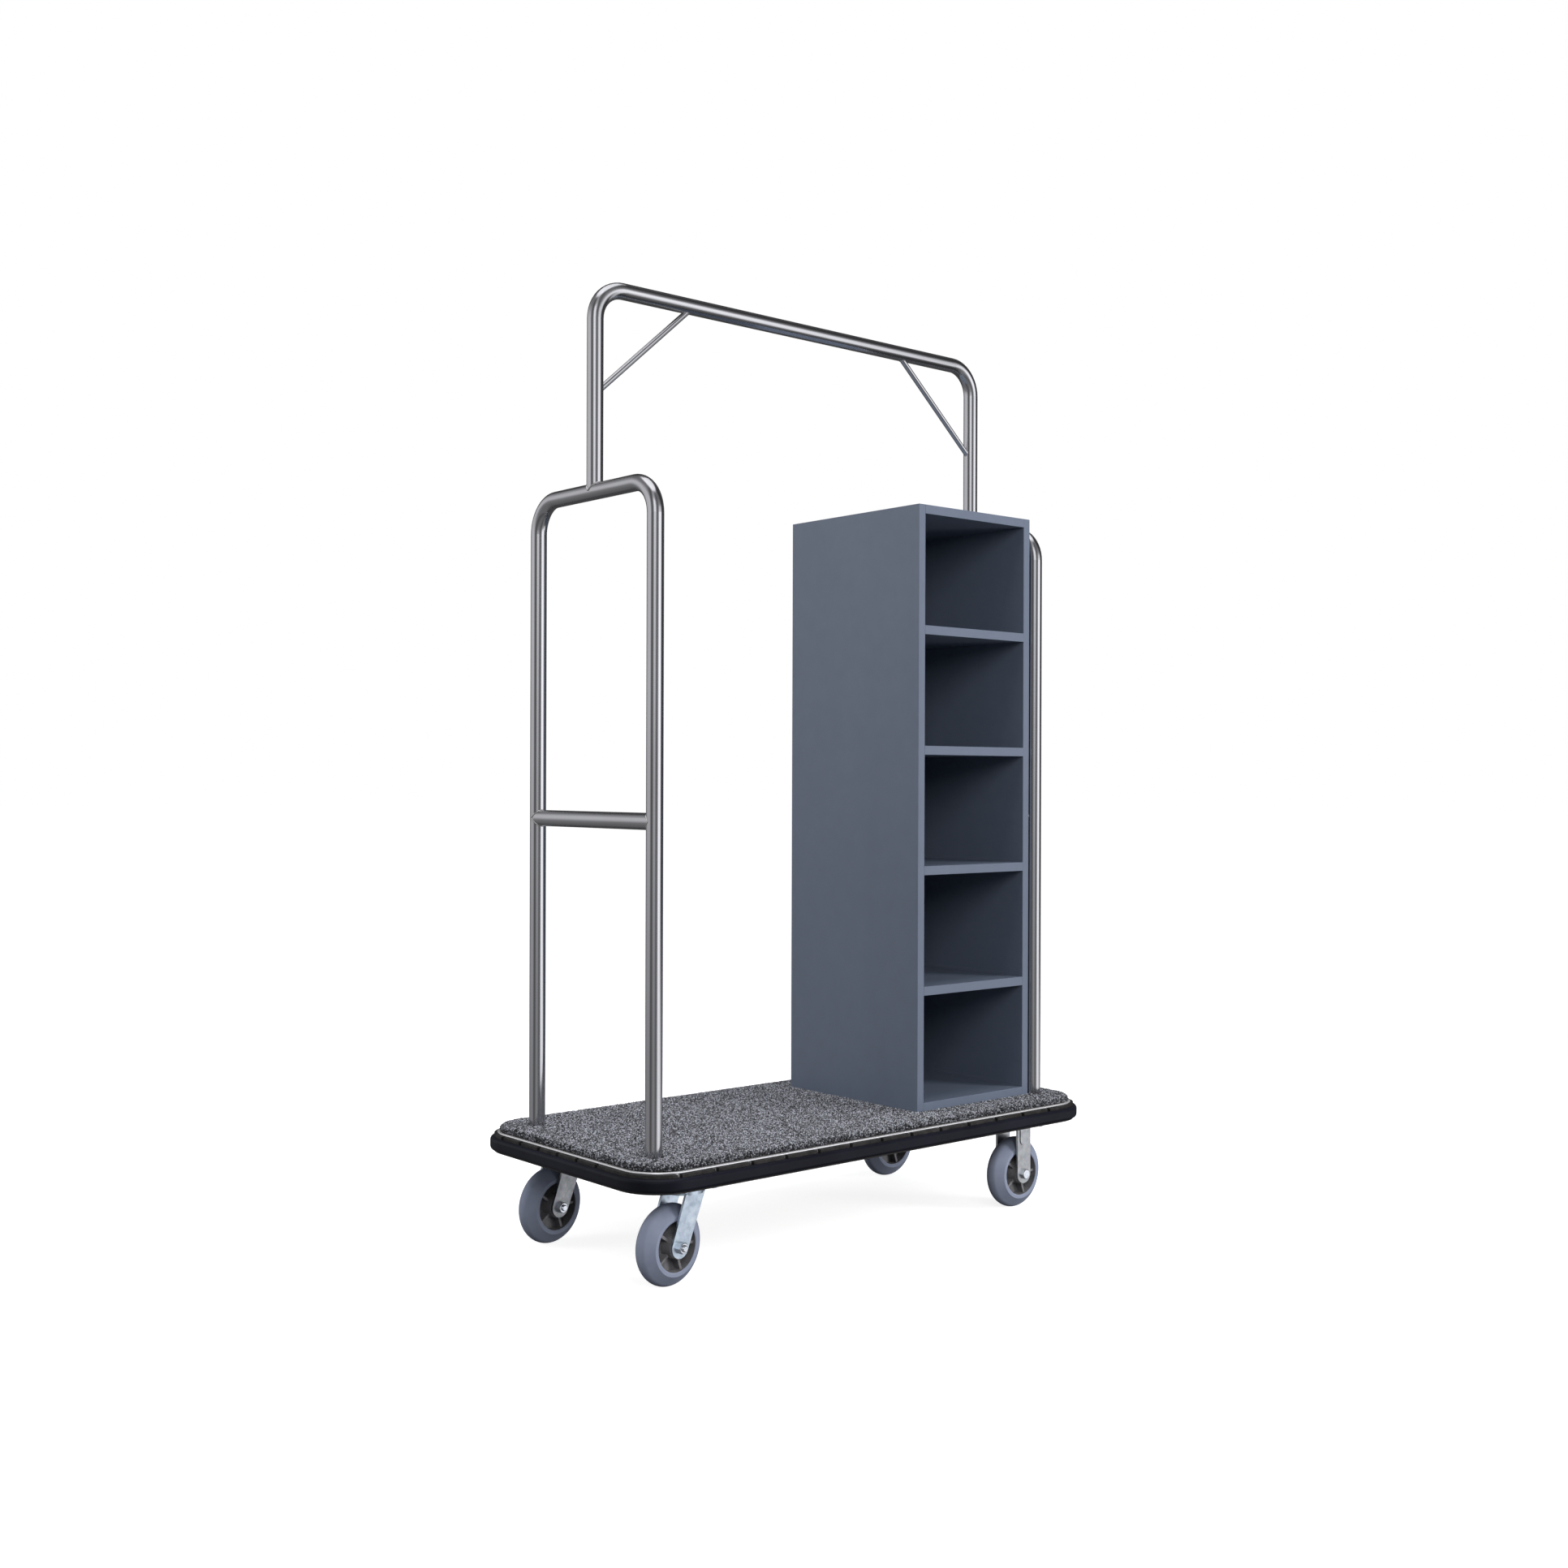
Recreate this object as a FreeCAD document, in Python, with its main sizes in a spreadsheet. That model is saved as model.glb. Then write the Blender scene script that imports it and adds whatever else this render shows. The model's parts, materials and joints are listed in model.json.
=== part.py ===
import FreeCAD, Part
import math
import os

import Sketcher

# Hotel luggage cart: a carpeted deck on four casters, a bumper all round, two bent tube
# hoops, a hanging rail that stands on them and an open shelf cabinet at the right-hand end.
# Millimetres, +Z up.  The origin is on the floor under the middle of the deck, +X points to
# the cabinet end (right) and -Y to the side that the cabinet opens to (front).

os.makedirs("parts", exist_ok=True)
doc = FreeCAD.newDocument("luggage_cart")
Vector = FreeCAD.Vector

# --------------------------------------------------------------------- driving dimensions

DIMENSIONS = {
    # deck
    "deck_length": 1190,        # over the edge trim
    "deck_width": 570,
    "deck_corner": 80,          # corner radius of the edge trim
    "trim_width": 5,            # how far the trim's bead stands out from the board
    "trim_bead": 4,
    "bead_round": 1.8,
    "trim_band": 16,            # depth of the trim's flat band down the board's edge
    "trim_sheet": 2,
    "frame_depth": 20.5,
    "frame_sheet": 3,
    "frame_ledge": 25,
    "board_thickness": 18,
    "carpet_thickness": 12.8,
    "carpet_round": 7,
    "carpet_sink": 3.8,         # how far the cabinet presses into the pile
    # bumper and its track
    "track_sheet": 2.5,
    "track_lip": 9,             # lip measured from the trim band outwards
    "track_lip_height": 6,
    "bumper_reach": 14,         # past the trim's bead
    "bumper_round": 7,
    "notch_width": 9,
    "notch_first_long": -530,   # notches along the two long edges
    "notch_pitch_long": 83,
    "notch_count_long": 13,
    "notch_first_short": -127,  # and along the two ends
    "notch_pitch_short": 65,
    "notch_count_short": 6,
    # tubes
    "tube_diameter": 32,
    "tube_wall": 2,
    "tube_bend": 63.5,          # radius of the bend's centre line
    "post_x": 521.4,
    "post_y": 196.7,
    "hoop_height": 1485.4,      # centre line of each hoop's top bar
    "crossbar_height": 855.6,
    "rail_height": 1880.6,      # centre line of the hanging rail
    "brace_diameter": 12,
    "brace_reach": 235,         # from the rail leg's centre line to where the rod meets the bar's
    "brace_drop": 207.5,
    "plug_height": 30,
    "post_bolt": 12,            # M12
    # deck frame
    "channel_width": 148,
    "channel_x": 472,
    "stringer_width": 40,
    "stringer_y": 120,
    # cabinet
    "cabinet_left": 158.4,
    "cabinet_width": 344.4,
    "cabinet_front": 198,
    "cabinet_depth": 403,
    "cabinet_top": 1511,
    "panel": 19,
    "back_panel": 6,
    "shelf_pitch": 252.5,
    "bottom_board_top": 257.8,
    "panel_round": 0.8,
    "dowel_diameter": 8,
    "dowel_in_side": 12,
    "dowel_in_shelf": 18,
    "dowel_inset": 50,
    "cabinet_screw": 6,
    "screw_cover": 4,           # board left above a screw's hole
    "screw_tip_gap": 1,
    "screw_inset_x": 60,
    "screw_inset_y": 35,
    # casters
    "caster_height": 190.5,
    "caster_x": 454,
    "caster_y": 199,
    "caster_trail": 39,
    "front_turn": 7,            # swivel angle, in degrees, of the front caster
    "rear_turn": 8,             # the same for the rear caster
    "plate_length": 101.6,
    "plate_width": 114.3,
    "plate_thickness": 6,
    "plate_corner": 8,
    "plate_bolt": 10,           # M10
    "plate_bolt_x": 66.7,
    "plate_bolt_y": 92.1,
    "plate_bolt_end": 11,       # bolt above the channel's floor
    "bolt_clearance": 0.5,
    "fork_inside": 55,
    "fork_sheet": 5,
    "fork_crown_top": 174,
    "fork_crown": 6,            # thickness of the crown
    "fork_top_front": 26,       # leg edges at the crown, from the kingpin's axis
    "fork_top_rear": 23,
    "fork_end": 20.5,
    "rigid_end": 20.5,
    "fork_rib_width": 26,
    "fork_rib_length": 42,
    "fork_rib_drop": 4,         # rib's end below the plate
    "fork_rib_height": 2,
    "race_radius": 38,
    "race_circle": 29,
    "race_gap": 5,
    "race_depth": 2,
    "ball_diameter": 9.5,
    "ball_clearance": 0.1,
    "kingpin_diameter": 16,
    "kingpin_head": 25.6,
    "kingpin_head_height": 4,
    "kingpin_gap": 0.2,
    "running_clearance": 0.05,
    "axle_diameter": 12,
    "axle_point": 4,            # bolt end past the nut
    "axle_chamfer": 1.2,
    "wheel_diameter": 152.4,
    "tyre_width": 50,
    "tread_round": 16,
    "tyre_shoulder": 55,        # radius where the tyre's sloping side begins
    "rim_radius": 51,
    "rim_inside": 47,
    "rim_width": 48,
    "rim_lip": 2,
    "hub_radius": 22,
    "hub_length": 54,
    "hub_draft": 2,
    "rim_draft": 1,
    "bearing_diameter": 22,
    "web": 8,
    "rib": 5,
    "rib_width": 38,
}

sheet = doc.addObject("Spreadsheet::Sheet", "dims")
for row, (alias, number) in enumerate(DIMENSIONS.items(), start=1):
    sheet.set(f"A{row}", alias)
    sheet.set(f"B{row}", str(number))
    sheet.setAlias(f"B{row}", alias)
doc.recompute()


class Size:
    """A number together with the spreadsheet expression that gives it."""

    def __init__(self, value, text):
        self.value = float(value)
        self.text = text

    def __add__(self, other):
        other = as_size(other)
        return Size(self.value + other.value, f"({self.text} + {other.text})")

    def __sub__(self, other):
        other = as_size(other)
        return Size(self.value - other.value, f"({self.text} - {other.text})")

    def __mul__(self, other):
        other = as_size(other)
        return Size(self.value * other.value, f"({self.text} * {other.text})")

    def __truediv__(self, other):
        other = as_size(other)
        return Size(self.value / other.value, f"({self.text} / {other.text})")

    def __neg__(self):
        return Size(-self.value, f"(0 - {self.text})")

    def __rsub__(self, other):
        return as_size(other) - self

    def __rmul__(self, other):
        return as_size(other) * self

    def __radd__(self, other):
        return as_size(other) + self


def as_size(number):
    return number if isinstance(number, Size) else Size(number, f"({number:g})")


def dim(alias):
    """The driving dimension of that name."""
    return Size(sheet.get(alias), f"dims.{alias}")


def bind(thing, prop, size):
    thing.setExpression(prop, as_size(size).text)


# ------------------------------------------------------------------------- derived places

board_x = dim("deck_length") / 2 - dim("trim_width")
board_y = dim("deck_width") / 2 - dim("trim_width")
board_corner = dim("deck_corner") - dim("trim_width")
frame_bottom = dim("caster_height")
board_bottom = frame_bottom + dim("frame_depth")
board_top = board_bottom + dim("board_thickness")
carpet_top = board_top + dim("carpet_thickness")
tube_radius = dim("tube_diameter") / 2
cabinet_right = dim("cabinet_left") + dim("cabinet_width")
cabinet_bottom = carpet_top - dim("carpet_sink")
cabinet_back = dim("cabinet_depth") - dim("cabinet_front")
cabinet_middle = dim("cabinet_left") + dim("cabinet_width") / 2
axle_height = dim("wheel_diameter") / 2
plate_bottom = dim("caster_height") - dim("plate_thickness")
fork_outside = dim("fork_inside") / 2 + dim("fork_sheet")
lower_race_top = dim("fork_crown_top") + dim("race_depth")
upper_race_bottom = lower_race_top + dim("race_gap")
ball_height = lower_race_top + dim("race_gap") / 2

LEFT, RIGHT = -1, 1
FRONT, REAR = -1, 1

# hexagon heads and nuts, in proportion to the thread's diameter
HEX_FLATS = 1.6
HEAD_HEIGHT = 0.64
NUT_HEIGHT = 0.85
RIB_ROUND = 0.9                 # end radius of a fork rib, in proportion to half its width
HEX_TOP = 0.95                  # the turned top face, in proportion to the width across flats

CORNERS = {
    "front_left": (LEFT, FRONT),
    "rear_left": (LEFT, REAR),
    "front_right": (RIGHT, FRONT),
    "rear_right": (RIGHT, REAR),
}

# ---------------------------------------------------------------------- drawing functions

subparts = []


def new_body(name, x=0, y=0, z=0):
    """An empty body that stands at (x, y, z)."""
    body = doc.addObject("PartDesign::Body", name)
    body.Label = name
    place(body, x, y, z)
    subparts.append(body)
    return body


def place(thing, x, y, z):
    for axis, size in zip("xyz", (x, y, z)):
        bind(thing, f"Placement.Base.{axis}", size)


def sketch_on(body, plane, height=0):
    """A sketch on one of the body's own origin planes, lifted along the plane's normal."""
    number = sum(item.TypeId == "Sketcher::SketchObject" for item in body.Group) + 1
    sketch = body.newObject("Sketcher::SketchObject", f"{body.Name}_sketch_{number}")
    origin_plane = next(f for f in body.Origin.OriginFeatures if f.Role == plane)
    sketch.AttachmentSupport = [(origin_plane, "")]
    sketch.MapMode = "FlatFace"
    bind(sketch, "AttachmentOffset.Base.z", height)
    return sketch


def constrain(sketch, kind, *where, size):
    """A dimension constraint whose value comes from the spreadsheet."""
    size = as_size(size)
    index = sketch.addConstraint(Sketcher.Constraint(kind, *where, size.value))
    sketch.setExpression(f"Constraints[{index}]", size.text)


def pin(sketch, curve, point, x, y):
    """Fix one point of a curve at (x, y) from the sketch's origin."""
    constrain(sketch, "DistanceX", -1, 1, curve, point, size=x)
    constrain(sketch, "DistanceY", -1, 1, curve, point, size=y)


def flat(x, y):
    return Vector(as_size(x).value, as_size(y).value, 0)


def add_line(sketch, start, end):
    return sketch.addGeometry(Part.LineSegment(flat(*start), flat(*end)), False)


def add_arc(sketch, centre, radius, first, last):
    """An arc that runs anticlockwise between two angles in degrees."""
    ring = Part.Circle(flat(*centre), Vector(0, 0, 1), as_size(radius).value)
    arc = Part.ArcOfCircle(ring, math.radians(first), math.radians(last))
    return sketch.addGeometry(arc, False)


def circle(sketch, x, y, diameter):
    size = as_size(diameter)
    ring = Part.Circle(flat(x, y), Vector(0, 0, 1), size.value / 2)
    index = sketch.addGeometry(ring, False)
    pin(sketch, index, 3, x, y)
    constrain(sketch, "Diameter", index, size=size)


def polygon(sketch, corners):
    """A closed outline through the corners."""
    first = sketch.GeometryCount
    count = len(corners)
    for i in range(count):
        add_line(sketch, corners[i], corners[(i + 1) % count])
    for i in range(count):
        sketch.addConstraint(Sketcher.Constraint("Coincident", first + i, 2, first + (i + 1) % count, 1))
        pin(sketch, first + i, 1, *corners[i])


def rectangle(sketch, x0, y0, x1, y1):
    polygon(sketch, [(x0, y0), (x1, y0), (x1, y1), (x0, y1)])


def rounded_rectangle(sketch, half_x, half_y, radius, middle_y=0):
    """A rectangle with round corners, centred on the sketch's vertical axis."""
    first = sketch.GeometryCount
    flat_x = half_x - radius
    bottom_y, top_y = middle_y - half_y, middle_y + half_y
    low, high = bottom_y + radius, top_y - radius
    sides = [
        ((-flat_x, bottom_y), (flat_x, bottom_y)),
        ((half_x, low), (half_x, high)),
        ((flat_x, top_y), (-flat_x, top_y)),
        ((-half_x, high), (-half_x, low)),
    ]
    centres = [(flat_x, low), (flat_x, high), (-flat_x, high), (-flat_x, low)]
    for number, (side, centre) in enumerate(zip(sides, centres)):
        add_line(sketch, *side)
        add_arc(sketch, centre, radius, 90 * number - 90, 90 * number)
    for i in range(8):
        sketch.addConstraint(Sketcher.Constraint("Tangent", first + i, 2, first + (i + 1) % 8, 1))
    bottom, right, top, left = (first + 2 * i for i in range(4))
    for line in (bottom, top):
        sketch.addConstraint(Sketcher.Constraint("Horizontal", line))
    for line in (right, left):
        sketch.addConstraint(Sketcher.Constraint("Vertical", line))
    for arc in (right + 1, top + 1, left + 1):
        sketch.addConstraint(Sketcher.Constraint("Equal", bottom + 1, arc))
    constrain(sketch, "Radius", bottom + 1, size=radius)
    constrain(sketch, "DistanceX", -1, 1, right, 1, size=half_x)
    constrain(sketch, "DistanceX", left, 1, -1, 1, size=half_x)
    constrain(sketch, "DistanceY", -1, 1, top, 1, size=top_y)
    constrain(sketch, "DistanceY", -1, 1, bottom, 1, size=bottom_y)


def bent_path(sketch, half_span, foot, top, radius):
    """An upside-down U: up from (-half_span, foot), across at the top and down again."""
    bend_z = top - radius
    inner = half_span - radius
    up = add_line(sketch, (-half_span, foot), (-half_span, bend_z))
    first_bend = add_arc(sketch, (-inner, bend_z), radius, 90, 180)
    across = add_line(sketch, (-inner, top), (inner, top))
    second_bend = add_arc(sketch, (inner, bend_z), radius, 0, 90)
    down = add_line(sketch, (half_span, bend_z), (half_span, foot))
    # the arcs run anticlockwise, so each one ends where the path comes into it
    joins = [(up, 2, first_bend, 2), (first_bend, 1, across, 1),
             (across, 2, second_bend, 2), (second_bend, 1, down, 1)]
    for join in joins:
        sketch.addConstraint(Sketcher.Constraint("Tangent", *join))
    sketch.addConstraint(Sketcher.Constraint("Vertical", up))
    sketch.addConstraint(Sketcher.Constraint("Horizontal", across))
    sketch.addConstraint(Sketcher.Constraint("Equal", first_bend, second_bend))
    pin(sketch, up, 1, -half_span, foot)
    pin(sketch, down, 2, half_span, foot)
    constrain(sketch, "Radius", first_bend, size=radius)
    constrain(sketch, "DistanceY", -1, 1, across, 1, size=top)


def solid_feature(body, kind, sketch, **settings):
    feature = body.newObject(f"PartDesign::{kind}", f"{body.Name}_{kind.lower()}_{len(body.Group)}")
    feature.Profile = sketch
    for name, value in settings.items():
        setattr(feature, name, value)
    body.Tip = feature
    return feature


def pad(body, sketch, length, **settings):
    feature = solid_feature(body, "Pad", sketch, **settings)
    bind(feature, "Length", length)
    return feature


def pocket(body, sketch, length, **settings):
    """A cut that must take something away."""
    before = volume(body)
    feature = solid_feature(body, "Pocket", sketch, **settings)
    bind(feature, "Length", length)
    if not volume(body) < before:
        raise ValueError(f"a pocket of {body.Label} cuts nothing")
    return feature


def volume(body):
    doc.recompute()
    return body.Shape.Volume


def revolve(body, sketch, axis="V_Axis"):
    return solid_feature(body, "Revolution", sketch, ReferenceAxis=(sketch, [axis]), Angle=360)


def groove(body, sketch, axis="V_Axis"):
    before = volume(body)
    feature = solid_feature(body, "Groove", sketch, ReferenceAxis=(sketch, [axis]), Angle=360)
    if not volume(body) < before:
        raise ValueError(f"a groove of {body.Label} cuts nothing")
    return feature


def pattern(body, kind, original, **settings):
    """A linear or polar pattern of one feature."""
    feature = body.newObject(f"PartDesign::{kind}", f"{body.Name}_{kind.lower()}_{len(body.Group)}")
    feature.Originals = [original]
    for name, value in settings.items():
        setattr(feature, name, value)
    body.Tip = feature
    return feature


def round_edges(body, radius, chosen):
    """Fillet the edges of the body's last feature that the test picks."""
    doc.recompute()
    base = body.Tip
    names = [f"Edge{i}" for i, edge in enumerate(base.Shape.Edges, start=1) if chosen(edge)]
    if not names:
        raise ValueError(f"no edge of {body.Label} to round")
    feature = body.newObject("PartDesign::Fillet", f"{body.Name}_fillet_{len(body.Group)}")
    feature.Base = (base, names)
    bind(feature, "Radius", radius)
    body.Tip = feature
    return feature


def near(a, b):
    return abs(a - as_size(b).value) < 0.01


def level_edge(z):
    """Test for the edges that lie flat at that height."""
    return lambda edge: near(edge.BoundBox.ZMin, z) and near(edge.BoundBox.ZMax, z)


def outside(offset):
    """Test for the level edges of a deck ring that stand further out than the offset."""
    def chosen(edge):
        box = edge.BoundBox
        beyond_x = max(abs(box.XMin), abs(box.XMax)) > (board_x + offset).value
        beyond_y = max(abs(box.YMin), abs(box.YMax)) > (board_y + offset).value
        return near(box.ZMin, box.ZMax) and (beyond_x or beyond_y)
    return chosen


def group(name, piece, places):
    """One node that holds copies of the same fastener as separate solids."""
    copies = []
    for x, y, z in places:
        copy = piece.copy()
        copy.translate(Vector(as_size(x).value, as_size(y).value, as_size(z).value))
        copies.append(copy)
    feature = doc.addObject("Part::Feature", name)
    feature.Label = name
    feature.Shape = Part.makeCompound(copies)
    subparts.append(feature)
    return feature


def hex_prism(thread, height):
    """A hexagonal head or nut on the floor of its own frame, axis +Z, its top corners turned off."""
    flats = thread * HEX_FLATS
    radius = flats / math.sqrt(3)
    turns = [math.radians(60 * i) for i in range(7)]
    corners = [Vector(radius * math.cos(turn), radius * math.sin(turn), 0) for turn in turns]
    prism = Part.Face(Part.makePolygon(corners)).extrude(Vector(0, 0, height))
    return prism.common(Part.makeCone(radius + height, flats / 2 * HEX_TOP, height))


def hex_bolt(thread, length):
    """A bolt with its head under z = 0 and its shank going up from there."""
    head = hex_prism(thread, thread * HEAD_HEIGHT)
    head.rotate(Vector(0, 0, 0), Vector(1, 0, 0), 180)
    return head.fuse(Part.makeCylinder(thread / 2, length)).removeSplitter()


# ----------------------------------------------------------------------------- deck frame

def deck_ring(body, outwards, inwards, bottom, height):
    """Pad a ring that follows the deck board's outline, from one offset to another."""
    sketch = sketch_on(body, "XY_Plane", bottom)
    for offset in (outwards, inwards):
        rounded_rectangle(sketch, board_x + offset, board_y + offset, board_corner + offset)
    return pad(body, sketch, height)


def make_deck_frame():
    """Angle-section perimeter frame: an upright wall and a ledge that the board lies on."""
    body = new_body("deck_frame")
    wall = dim("frame_sheet")
    deck_ring(body, 0, -wall, frame_bottom, dim("frame_depth"))
    deck_ring(body, 0, -dim("frame_ledge"), board_bottom - wall, wall)


def cut_outside(body, inset, bottom, height):
    """Take away what stands further out than the board's outline moved in by the inset."""
    sketch = sketch_on(body, "XY_Plane", bottom)
    length, width = dim("deck_length"), dim("deck_width")
    rectangle(sketch, -length, -width, length, width)
    rounded_rectangle(sketch, board_x - inset, board_y - inset, board_corner - inset)
    pocket(body, sketch, height, Reversed=True)


def make_caster_channel(name, side):
    """Cross channel, open upwards, that the casters and the post bolts go through."""
    body = new_body(name, 0, 0, frame_bottom)
    wall = dim("frame_sheet")
    deep = dim("frame_depth")
    middle = side * dim("channel_x")
    left = middle - dim("channel_width") / 2
    right = middle + dim("channel_width") / 2
    section = sketch_on(body, "XZ_Plane")
    polygon(section, [(left, 0), (right, 0), (right, deep), (right - wall, deep),
                      (right - wall, wall), (left + wall, wall), (left + wall, deep), (left, deep)])
    pad(body, section, board_y * 2, SideType="Symmetric")
    cut_outside(body, wall, 0, deep)
    cut_outside(body, dim("frame_ledge"), deep - wall, wall)
    holes = sketch_on(body, "XY_Plane", wall)
    for x, y in bolt_places(side):
        circle(holes, x, y, dim("plate_bolt") + dim("bolt_clearance"))
    for facing in (FRONT, REAR):
        circle(holes, side * dim("post_x"), facing * dim("post_y"), dim("post_bolt") + dim("bolt_clearance"))
    pocket(body, holes, wall)


def bolt_places(side):
    """Where the caster bolts of one end of the deck stand."""
    spots = []
    for facing in (FRONT, REAR):
        for dx in (-1, 1):
            for dy in (-1, 1):
                spots.append((side * dim("caster_x") + dx * dim("plate_bolt_x") / 2,
                              facing * dim("caster_y") + dy * dim("plate_bolt_y") / 2))
    return spots


def make_stringer(name, facing):
    """Rectangular tube between the two cross channels."""
    body = new_body(name, 0, facing * dim("stringer_y"), frame_bottom)
    section = sketch_on(body, "YZ_Plane")
    half = dim("stringer_width") / 2
    wall = dim("frame_sheet")
    rectangle(section, -half, 0, half, dim("frame_depth"))
    rectangle(section, wall - half, wall, half - wall, dim("frame_depth") - wall)
    pad(body, section, dim("channel_x") * 2 - dim("channel_width"), SideType="Symmetric")


def screw_places():
    """Where the cabinet is screwed to the deck."""
    columns = (dim("cabinet_left") + dim("screw_inset_x"), cabinet_right - dim("screw_inset_x"))
    rows = (dim("screw_inset_y") - dim("cabinet_front"), cabinet_back - dim("screw_inset_y"))
    return [(x, y) for x in columns for y in rows]


def make_deck_board():
    body = new_body("deck_board")
    outline = sketch_on(body, "XY_Plane", board_bottom)
    rounded_rectangle(outline, board_x, board_y, board_corner)
    pad(body, outline, dim("board_thickness"))
    holes = sketch_on(body, "XY_Plane", board_top)
    for side, facing in CORNERS.values():
        circle(holes, side * dim("post_x"), facing * dim("post_y"), dim("post_bolt") + dim("bolt_clearance"))
    for x, y in screw_places():
        circle(holes, x, y, dim("cabinet_screw") + dim("bolt_clearance"))
    pocket(body, holes, dim("board_thickness"))


def make_carpet():
    """The pile as one closed block with a round edge, holes for the posts and the cabinet's dent."""
    body = new_body("carpet")
    outline = sketch_on(body, "XY_Plane", board_top)
    rounded_rectangle(outline, board_x, board_y, board_corner)
    pad(body, outline, dim("carpet_thickness"))
    round_edges(body, dim("carpet_round"), level_edge(carpet_top))
    dent = sketch_on(body, "XY_Plane", carpet_top)
    rectangle(dent, dim("cabinet_left"), -dim("cabinet_front"), cabinet_right, cabinet_back)
    pocket(body, dent, dim("carpet_sink"))
    holes = sketch_on(body, "XY_Plane", carpet_top)
    for side, facing in CORNERS.values():
        circle(holes, side * dim("post_x"), facing * dim("post_y"), dim("tube_diameter"))
    for x, y in screw_places():
        circle(holes, x, y, dim("cabinet_screw"))
    pocket(body, holes, dim("carpet_thickness"))


def make_edge_trim():
    """Polished strip: a flat band down the board's edge with a round bead on top."""
    body = new_body("edge_trim")
    deck_ring(body, dim("trim_sheet"), 0, board_top - dim("trim_band"), dim("trim_band"))
    deck_ring(body, dim("trim_width"), 0, board_top - dim("trim_bead"), dim("trim_bead"))
    round_edges(body, dim("bead_round"), outside(dim("trim_width") / 2))


def make_bumper_track():
    """Extruded strip screwed to the deck's edge; its notched upper lip shows above the bumper."""
    body = new_body("bumper_track")
    inner = dim("trim_sheet")
    lip_top = board_top - dim("trim_bead")
    lip = inner + dim("track_lip")
    deck_ring(body, inner + dim("track_sheet"), inner, frame_bottom, lip_top - frame_bottom)
    deck_ring(body, lip, inner, lip_top - dim("track_lip_height"), dim("track_lip_height"))
    deck_ring(body, lip, inner, frame_bottom, dim("frame_sheet"))
    half = dim("notch_width") / 2
    over = dim("deck_length")
    across = sketch_on(body, "XY_Plane", lip_top)
    first = dim("notch_first_long")
    rectangle(across, first - half, -over, first + half, over)
    along = sketch_on(body, "XY_Plane", lip_top)
    first = dim("notch_first_short")
    rectangle(along, -over, first - half, over, first + half)
    for sketch, axis, edge in ((across, "H_Axis", "long"), (along, "V_Axis", "short")):
        cut = pocket(body, sketch, dim("track_lip_height"))
        count = dim(f"notch_count_{edge}")
        row = pattern(body, "LinearPattern", cut, Direction=(sketch, [axis]), Occurrences=int(count.value))
        bind(row, "Length", dim(f"notch_pitch_{edge}") * (count - 1))


def make_bumper():
    """Vinyl buffer held between the track's lips."""
    body = new_body("bumper")
    bottom = frame_bottom + dim("frame_sheet")
    top = board_top - dim("trim_bead") - dim("track_lip_height")
    face = dim("trim_width") + dim("bumper_reach")
    deck_ring(body, face, dim("trim_sheet") + dim("track_sheet"), bottom, top - bottom)
    round_edges(body, dim("bumper_round"), outside(face / 2))


# ----------------------------------------------------------------------------- tube frame

def tube_section(sketch, x, y):
    circle(sketch, x, y, dim("tube_diameter"))
    circle(sketch, x, y, dim("tube_diameter") - dim("tube_wall") * 2)


def sweep(body, section, path):
    feature = solid_feature(body, "AdditivePipe", section)
    feature.Spine = path
    return feature


def make_hoop(name, side):
    """One bent tube: two posts and a top bar across the deck."""
    body = new_body(name, side * dim("post_x"), 0, 0)
    path = sketch_on(body, "YZ_Plane")
    bent_path(path, dim("post_y"), board_top, dim("hoop_height"), dim("tube_bend"))
    section = sketch_on(body, "XY_Plane", board_top)
    tube_section(section, 0, -dim("post_y"))
    sweep(body, section, path)


def make_crossbar(name, side):
    """Straight tube coped to the two posts of one hoop."""
    body = new_body(name, side * dim("post_x"), 0, dim("crossbar_height"))
    section = sketch_on(body, "XZ_Plane")
    tube_section(section, 0, 0)
    pad(body, section, dim("post_y") * 2, SideType="Symmetric")
    copes = sketch_on(body, "XY_Plane")
    for facing in (FRONT, REAR):
        circle(copes, 0, facing * dim("post_y"), dim("tube_diameter"))
    pocket(body, copes, dim("tube_diameter") * 2, SideType="Symmetric")


def make_hanging_rail():
    """Bent tube whose legs stand on the middle of each hoop's top bar."""
    body = new_body("hanging_rail")
    path = sketch_on(body, "XZ_Plane")
    bent_path(path, dim("post_x"), dim("hoop_height"), dim("rail_height"), dim("tube_bend"))
    section = sketch_on(body, "XY_Plane", dim("hoop_height"))
    tube_section(section, -dim("post_x"), 0)
    sweep(body, section, path)
    saddles = sketch_on(body, "XZ_Plane")
    for side in (LEFT, RIGHT):
        circle(saddles, side * dim("post_x"), dim("hoop_height"), dim("tube_diameter"))
    pocket(body, saddles, dim("tube_diameter") * 2, SideType="Symmetric")


def cylinder(name, radius, height, x, y, z):
    rod = doc.addObject("Part::Cylinder", name)
    bind(rod, "Radius", radius)
    bind(rod, "Height", height)
    place(rod, x, y, z)
    return rod


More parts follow.
